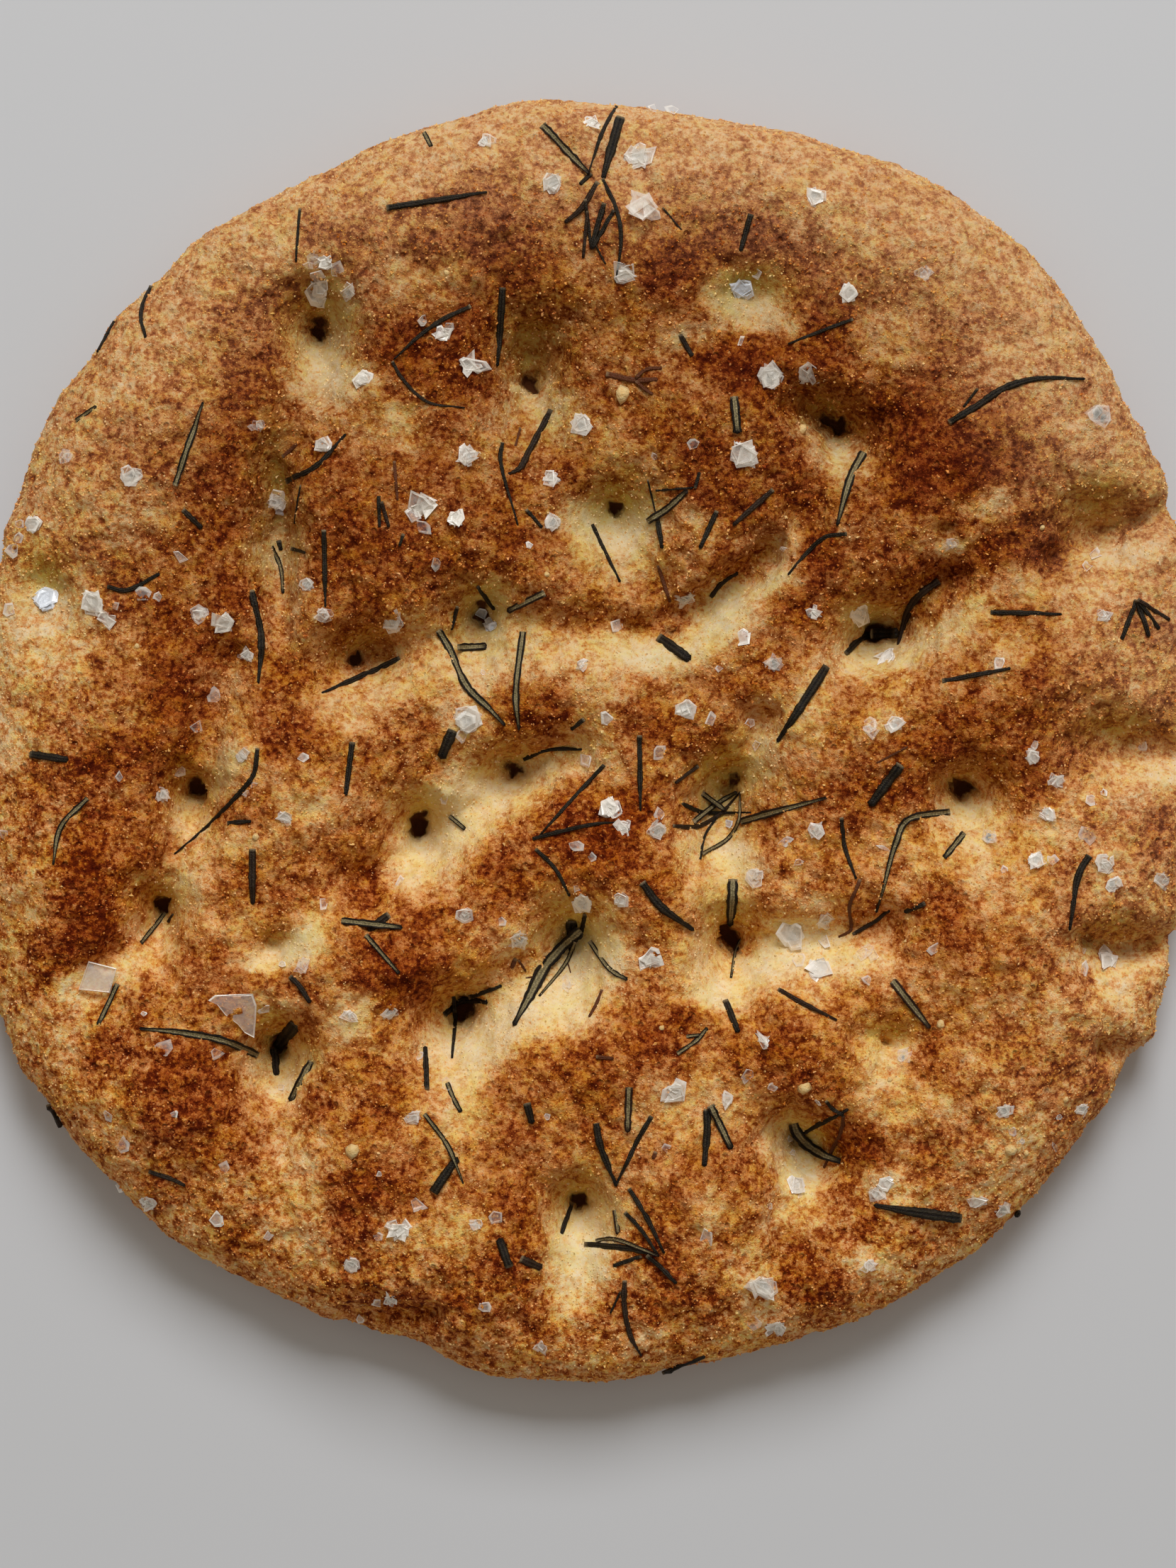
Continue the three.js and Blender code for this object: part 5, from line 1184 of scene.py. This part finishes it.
def spread_grains(points, faces, values, top):
    """Meal on the crust: small domes, each turned its own way and about as brown as its place."""
    on_top = faces[top[faces].all(axis=1)]
    chosen = on_top[random.integers(0, len(on_top), GRAINS)]
    weights = random.dirichlet((1, 1, 1), GRAINS)
    places = (points[chosen] * weights[:, :, None]).sum(axis=1)
    normals = point_normals(points, faces)[chosen[:, 0]]
    half = random.uniform(*GRAIN_SIZE, GRAINS) * random.uniform(*GRAIN_SPREAD, GRAINS)
    count = len(GRAIN_CORNERS)
    jitter = random.uniform(*GRAIN_JITTER, (GRAINS, count))
    side = np.cross(normals, random.normal(0, 1, (GRAINS, 3)))
    side /= np.linalg.norm(side, axis=1, keepdims=True)
    other = np.cross(normals, side) * random.uniform(*GRAIN_FLATNESS, GRAINS)[:, None]
    basis = np.stack([side, other, normals * random.uniform(*GRAIN_STANDS, GRAINS)[:, None]], axis=1)
    local = GRAIN_CORNERS[None] * (jitter * half[:, None])[:, :, None]
    grains = np.einsum("nkc,ncd->nkd", local, basis) + places[:, None]
    brown = values["browning"][chosen[:, 0]] * random.uniform(*GRAIN_BROWNING, GRAINS)
    kept = np.flatnonzero(values["pit"][chosen[:, 0]] < MEAL_DEPTH)
    numbered = GRAIN_FACES[None] + count * np.arange(len(kept))[:, None, None]
    grains = grains[kept].reshape(-1, 3)
    sides = numbered.reshape(-1, 3).tolist()
    values = {"browning": np.repeat(brown[kept], count)}
    return new_piece("meal", grains, sides, values, grain_material(), smooth=False)


class Ground:
    """What a topping lies on: the crust, and the needles placed before it."""

    def __init__(self, points, faces):
        self.tree = BVHTree.FromPolygons(points.tolist(), faces.tolist())
        self.laid = np.zeros((0, 4))

    def height(self, x, y):
        """Height of the crust, or of the nearest crust towards the middle if x, y is past the rim."""
        hit = None
        while hit is None:
            hit = self.tree.ray_cast(Vector((x, y, PROBE_FROM)), Vector((0, 0, -1)))[0]
            x, y = PROBE_INWARD * x, PROBE_INWARD * y
        return hit.z

    def under(self, x, y, half):
        """Height of the crust or of a needle that lies there already."""
        found = self.height(x, y)
        if len(self.laid):
            away = np.hypot(self.laid[:, 0] - x, self.laid[:, 1] - y)
            near = away < self.laid[:, 3] + half
            if near.any():
                found = max(found, self.laid[near, 2].max())
        return found

    def slope(self, x, y, reach):
        """Which way is up from the crust, no steeper than the most slope."""
        east = self.height(x + reach, y) - self.height(x - reach, y)
        north = self.height(x, y + reach) - self.height(x, y - reach)
        tilt = Vector((-east / (2 * reach), -north / (2 * reach)))
        if tilt.length > MOST_SLOPE:
            tilt *= MOST_SLOPE / tilt.length
        return Vector((*tilt, 1)).normalized()


def smoothed(numbers, steps):
    """Each number as a mean of its neighbours up to so many steps away."""
    if len(numbers) < 3:
        return numbers
    span = np.arange(-steps, steps + 1)
    spread = 0.5 * steps + 0.3
    weights = np.exp(-((span / spread) ** 2))
    padded = np.pad(numbers, steps, mode="edge")
    return np.convolve(padded, weights / weights.sum(), mode="valid")


def between_rings(rings, count, first=0):
    """Corners of each face between neighbouring rings of points: two on one ring, two on the next."""
    for ring_number in range(rings - 1):
        for k in range(count):
            a = first + ring_number * count + k
            b = first + ring_number * count + (k + 1) % count
            yield a, b, b + count, a + count


def needle(ground, row, kind):
    """Points, faces and values of one needle: a grooved tube that bridges the small dents under it."""
    width, *route = row
    half = width / 2
    corners = np.array(route).reshape(-1, 2)
    length = np.hypot(*np.diff(corners, axis=0).T).sum()
    stations = max(3, round(length / NEEDLE_STATION))
    line = curve_points(corners, False, stations)
    share = np.linspace(0, 1, stations + 1)
    ground_z = np.array([ground.under(x, y, half) for x, y in line])
    level = smoothed(ground_z, max(1, round(NEEDLE_SPAN / 2 / NEEDLE_STATION)))
    level = np.maximum(level, ground_z - MOST_BRIDGED * half) + NEEDLE_RISE * half
    heading = np.gradient(line, axis=0)
    heading /= np.linalg.norm(heading, axis=1, keepdims=True)
    side = np.column_stack([-heading[:, 1], heading[:, 0]])
    body = np.minimum(smooth_step(*STEM_WIDENS, share), smooth_step(*TIP_NARROWS, share))
    tip_share = np.interp(length, [CUT_LENGTH, WHOLE_LENGTH], [CUT_TIP_SHARE, WHOLE_TIP_SHARE])
    end_share = np.where(share < 0.5, NEEDLE_STEM_SHARE, tip_share)
    uneven = 1 + NEEDLE_UNEVEN * random.normal(0, 1, stations + 1)
    grow = half * (end_share + (1 - end_share) * body) * smoothed(uneven, 1)
    lean = math.radians(random.uniform(-NEEDLE_LEAN, NEEDLE_LEAN))
    section = np.array(PALE_SECTION if kind == "pale" else DARK_SECTION)
    section = section @ np.array([[math.cos(lean), math.sin(lean)], [-math.sin(lean), math.cos(lean)]])
    count = len(section)
    across = section[:, 0][None] * grow[:, None] * random.uniform(*NEEDLE_WAVER, (stations + 1, count))
    up = section[:, 1][None] * grow[:, None] * NEEDLE_STANDS
    points = np.dstack([
        line[:, None, 0] + side[:, None, 0] * across,
        line[:, None, 1] + side[:, None, 1] * across,
        level[:, None] + up,
    ]).reshape(-1, 3)
    ends = np.array([
        [*(line[0] - heading[0] * STEM_BULGE * half), level[0]],
        [*(line[-1] + heading[-1] * TIP_BULGE * half), level[-1]],
    ])
    faces = [(a, d, c, b) for a, b, c, d in between_rings(stations + 1, count)]
    stem, tip = len(points), len(points) + 1
    last = stations * count
    for k in range(count):
        faces.append((stem, k, (k + 1) % count))
        faces.append((tip, last + (k + 1) % count, last + k))
    ground.laid = np.vstack([ground.laid, np.column_stack([line, level + NEEDLE_TOP * grow, grow])])
    channel = np.tile(PALE_CHANNEL if kind == "pale" else DARK_RIDGE_SHEEN, stations + 1)
    fade = np.repeat(smooth_step(*CHANNEL_ENDS, share), count)
    red = BROWN_RED if kind == "brown" else max(0.0, random.uniform(*DARK_RED))
    torn = np.zeros(len(points) + 2)
    torn[:count] = random.uniform(0, TORN_RIM)
    torn[stem] = TORN_STEM
    values = {"channel": np.append(channel * fade, [0, 0]), "red": np.full(len(torn), red), "stem": torn}
    return np.vstack([points, ends]), faces, values


def joined(parts):
    """Many small meshes as one: points, faces and values."""
    points, faces, values = [], [], {}
    first = 0
    for own_points, own_faces, own_values in parts:
        points.append(own_points)
        faces += [tuple(i + first for i in face) for face in own_faces]
        for label, numbers in own_values.items():
            values.setdefault(label, []).append(numbers)
        first += len(own_points)
    return np.vstack(points), faces, {label: np.concatenate(lists) for label, lists in values.items()}


def lay_rosemary(ground):
    kinds = {"brown": BROWN_NEEDLES, "dark": DARK_NEEDLES, "pale": PALE_NEEDLES}
    parts = [needle(ground, row, kind) for kind, rows in kinds.items() for row in rows]
    return new_piece("rosemary", *joined(parts), rosemary_material())


def plate(ground, corners, thickness, kind, tilt=0.0):
    """One broken flake of salt: a plate with a bevelled rim and a cracked, uneven face."""
    least, most, rim_haze, blue = SALT_KINDS[kind]
    whole = kind == "pane"
    corners = np.array(corners, float)
    count = len(corners)
    middle = corners.mean(axis=0)
    up = ground.slope(*middle, FLAKE_REACH)
    up = (up + Vector((*random.normal(0, tilt, 2), 0))).normalized() if tilt else up

    def fall(x, y):
        """How far the flake's plane drops from its middle to this place."""
        return (up.x * (x - middle[0]) + up.y * (y - middle[1])) / up.z

    heights = [ground.height(x, y) + fall(x, y) for x, y in corners]
    sunk = 0 if whole else FLAKE_SUNK
    base_z = sunk * ground.height(*middle) + (1 - sunk) * max(heights)
    drift = np.ptp(corners, axis=0) * random.uniform(-0.5, 0.5, 2) * (not whole)
    rings = []
    for shrink, lift, frost in PANE_PROFILE if whole else SHARD_PROFILE:
        wander = random.uniform(*FACE_WANDER, (count, 1)) if shrink < 1 and not whole else 1
        ring_points = middle + drift * max(0, 1 - shrink) + (corners - middle) * shrink * wander
        rings.append((ring_points, lift, frost))
    points, edge = [], []
    for number, (ring_points, lift, frost) in enumerate(rings):
        for x, y in ring_points:
            uneven = random.normal(0, FACE_UNEVEN) if number else 0
            points.append((x, y, base_z - fall(x, y) + thickness * (lift + uneven)))
            edge.append(frost * random.uniform(*FROST_RANGE))
    rise = MIDDLE_RISE + random.normal(0, MIDDLE_UNEVEN)
    points.append((*(middle + drift * MIDDLE_DRIFT), base_z + thickness * rise))
    edge.append(0.0)
    faces = []
    for a, b, c, d in between_rings(len(rings), count):
        faces += [(a, b, c), (a, c, d)]
    inner = (len(rings) - 1) * count
    faces += [(inner + k, inner + (k + 1) % count, inner + count) for k in range(count)]
    total = len(points)
    values = {
        "edge": edge,
        "haze": np.full(total, random.uniform(least, most)),
        "rim_haze": np.full(total, rim_haze),
        "blue": np.full(total, blue),
    }
    return np.array(points), faces, values


def broken_outline(x, y, length, width):
    """Corners of a flake that broke off unevenly."""
    count = int(random.integers(*CORNER_COUNT))
    turn = random.uniform(0, 2 * math.pi)
    steps = np.arange(count) + random.uniform(-CORNER_WANDER, CORNER_WANDER, count)
    bearings = turn + 2 * math.pi * steps / count
    reach = random.uniform(*CORNER_REACH, count)
    lie = random.uniform(0, math.pi)
    along, across = length * reach * np.cos(bearings), width * reach * np.sin(bearings)
    return np.column_stack([
        x + along * math.cos(lie) - across * math.sin(lie),
        y + along * math.sin(lie) + across * math.cos(lie),
    ])


def scatter_salt(ground):
    """All salt: a small flake is one plate, a larger one is several that lie over each other."""
    kinds = {
        "white": WHITE_SALT, "clear": CLEAR_SALT, "faint": FAINT_SALT, "melted": MELTED_SALT,
        "bluish": BLUISH_SALT,
    }
    parts = []
    for kind, rows in kinds.items():
        for x, y, length, width in rows:
            thickness = max(LEAST_THICKNESS, SALT_THICKNESS * (length + width) / 2)
            thickness *= FAINT_THICKNESS if kind == "faint" else 1
            shards = 1 if length < SHARDS_FROM else int(random.integers(*SHARD_COUNT))
            for _ in range(shards):
                size = 1 if shards == 1 else random.uniform(*SHARD_SIZE)
                off_x, off_y = random.uniform(-0.5, 0.5, 2) * (1 - size) * (length, width)
                shard = broken_outline(x + off_x, y + off_y, length * size, width * size)
                own_thickness = thickness * random.uniform(*THICKNESS_RANGE)
                parts.append(plate(ground, shard, own_thickness, kind, SHARD_TILT))
    parts += [plate(ground, corners[::-1], PANE_THICKNESS, "pane") for corners in CORNERED_SALT]
    return new_piece("salt", *joined(parts), salt_material(), smooth=False)


def crumb(ground, x, y, size):
    """A lump with an uneven skin, in rings from its top to its foot."""
    base = ground.height(x, y)
    points = [(x, y, base + CRUMB_POLE * size)]
    for ring_number in range(1, CRUMB_RINGS):
        polar = math.pi * ring_number / CRUMB_RINGS
        for side in range(CRUMB_SIDES):
            bearing = 2 * math.pi * (side + 0.5 * (ring_number % 2)) / CRUMB_SIDES
            reach = 0.5 * size * random.uniform(*CRUMB_JITTER)
            points.append((
                x + reach * math.sin(polar) * math.cos(bearing),
                y + reach * math.sin(polar) * math.sin(bearing),
                base + CRUMB_STANDS * reach * math.cos(polar),
            ))
    points.append((x, y, base - CRUMB_POLE * size))
    faces = [(0, 1 + side, 1 + (side + 1) % CRUMB_SIDES) for side in range(CRUMB_SIDES)]
    for a, b, c, d in between_rings(CRUMB_RINGS - 1, CRUMB_SIDES, first=1):
        faces += [(a, d, c), (a, c, b)]
    foot = len(points) - 1
    last = foot - CRUMB_SIDES
    faces += [(foot, last + (side + 1) % CRUMB_SIDES, last + side) for side in range(CRUMB_SIDES)]
    return np.array(points), faces, {}


def drop_crumbs(ground):
    parts = [crumb(ground, *row) for row in YELLOW_CRUMBS]
    return new_piece("crumbs", *joined(parts), crumb_material())


def make_floor():
    corners = [(-1, -1, 0), (1, -1, 0), (1, 1, 0), (-1, 1, 0)]
    material = Shader("floor").finish(Base_Color=FLOOR, Roughness=0.85)
    floor = new_piece("floor", FLOOR_HALF * np.array(corners), [(0, 1, 2, 3)], {}, material, smooth=False)


def make_light():
    lamp = bpy.data.lights.new("window", "AREA")
    lamp.size = KEY_SIZE * MM
    lamp.energy = KEY_POWER
    lamp.color = KEY_COLOUR
    light = bpy.data.objects.new("window", lamp)
    light.location = Vector(KEY_PLACE) * MM
    light.rotation_euler = light.location.to_track_quat("Z", "Y").to_euler()
    bpy.context.scene.collection.objects.link(light)
    world = bpy.data.worlds.new("studio")
    world.use_nodes = True
    fill = world.node_tree.nodes["Background"].inputs
    fill["Color"].default_value = FILL_COLOUR
    fill["Strength"].default_value = FILL_STRENGTH
    bpy.context.scene.world = world


def make_camera():
    lens = bpy.data.cameras.new("camera")
    lens.sensor_width = SENSOR
    lens.lens = SENSOR * VIEW_DISTANCE / VIEW_WIDTH
    camera = bpy.data.objects.new("camera", lens)
    x, y, z = VIEW_CENTRE
    camera.location = (x * MM, y * MM, (z + VIEW_DISTANCE) * MM)
    bpy.context.scene.collection.objects.link(camera)
    bpy.context.scene.camera = camera


def make_loaf():
    bread, points, faces, values, top = make_bread()
    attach(bread, "root")
    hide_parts("focaccia")
    ground = Ground(points, faces)
    toppings = (
        (spread_grains(points, faces, values, top), "crust"),
        (lay_rosemary(ground), "rosemary"),
        (scatter_salt(ground), "salt"),
        (drop_crumbs(ground), "crumb"),
    )
    for piece, slot in toppings:
        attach(piece, "root")
        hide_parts("focaccia")


make_loaf()
make_floor()
make_light()
make_camera()
bpy.context.scene.view_settings.view_transform = "Standard"
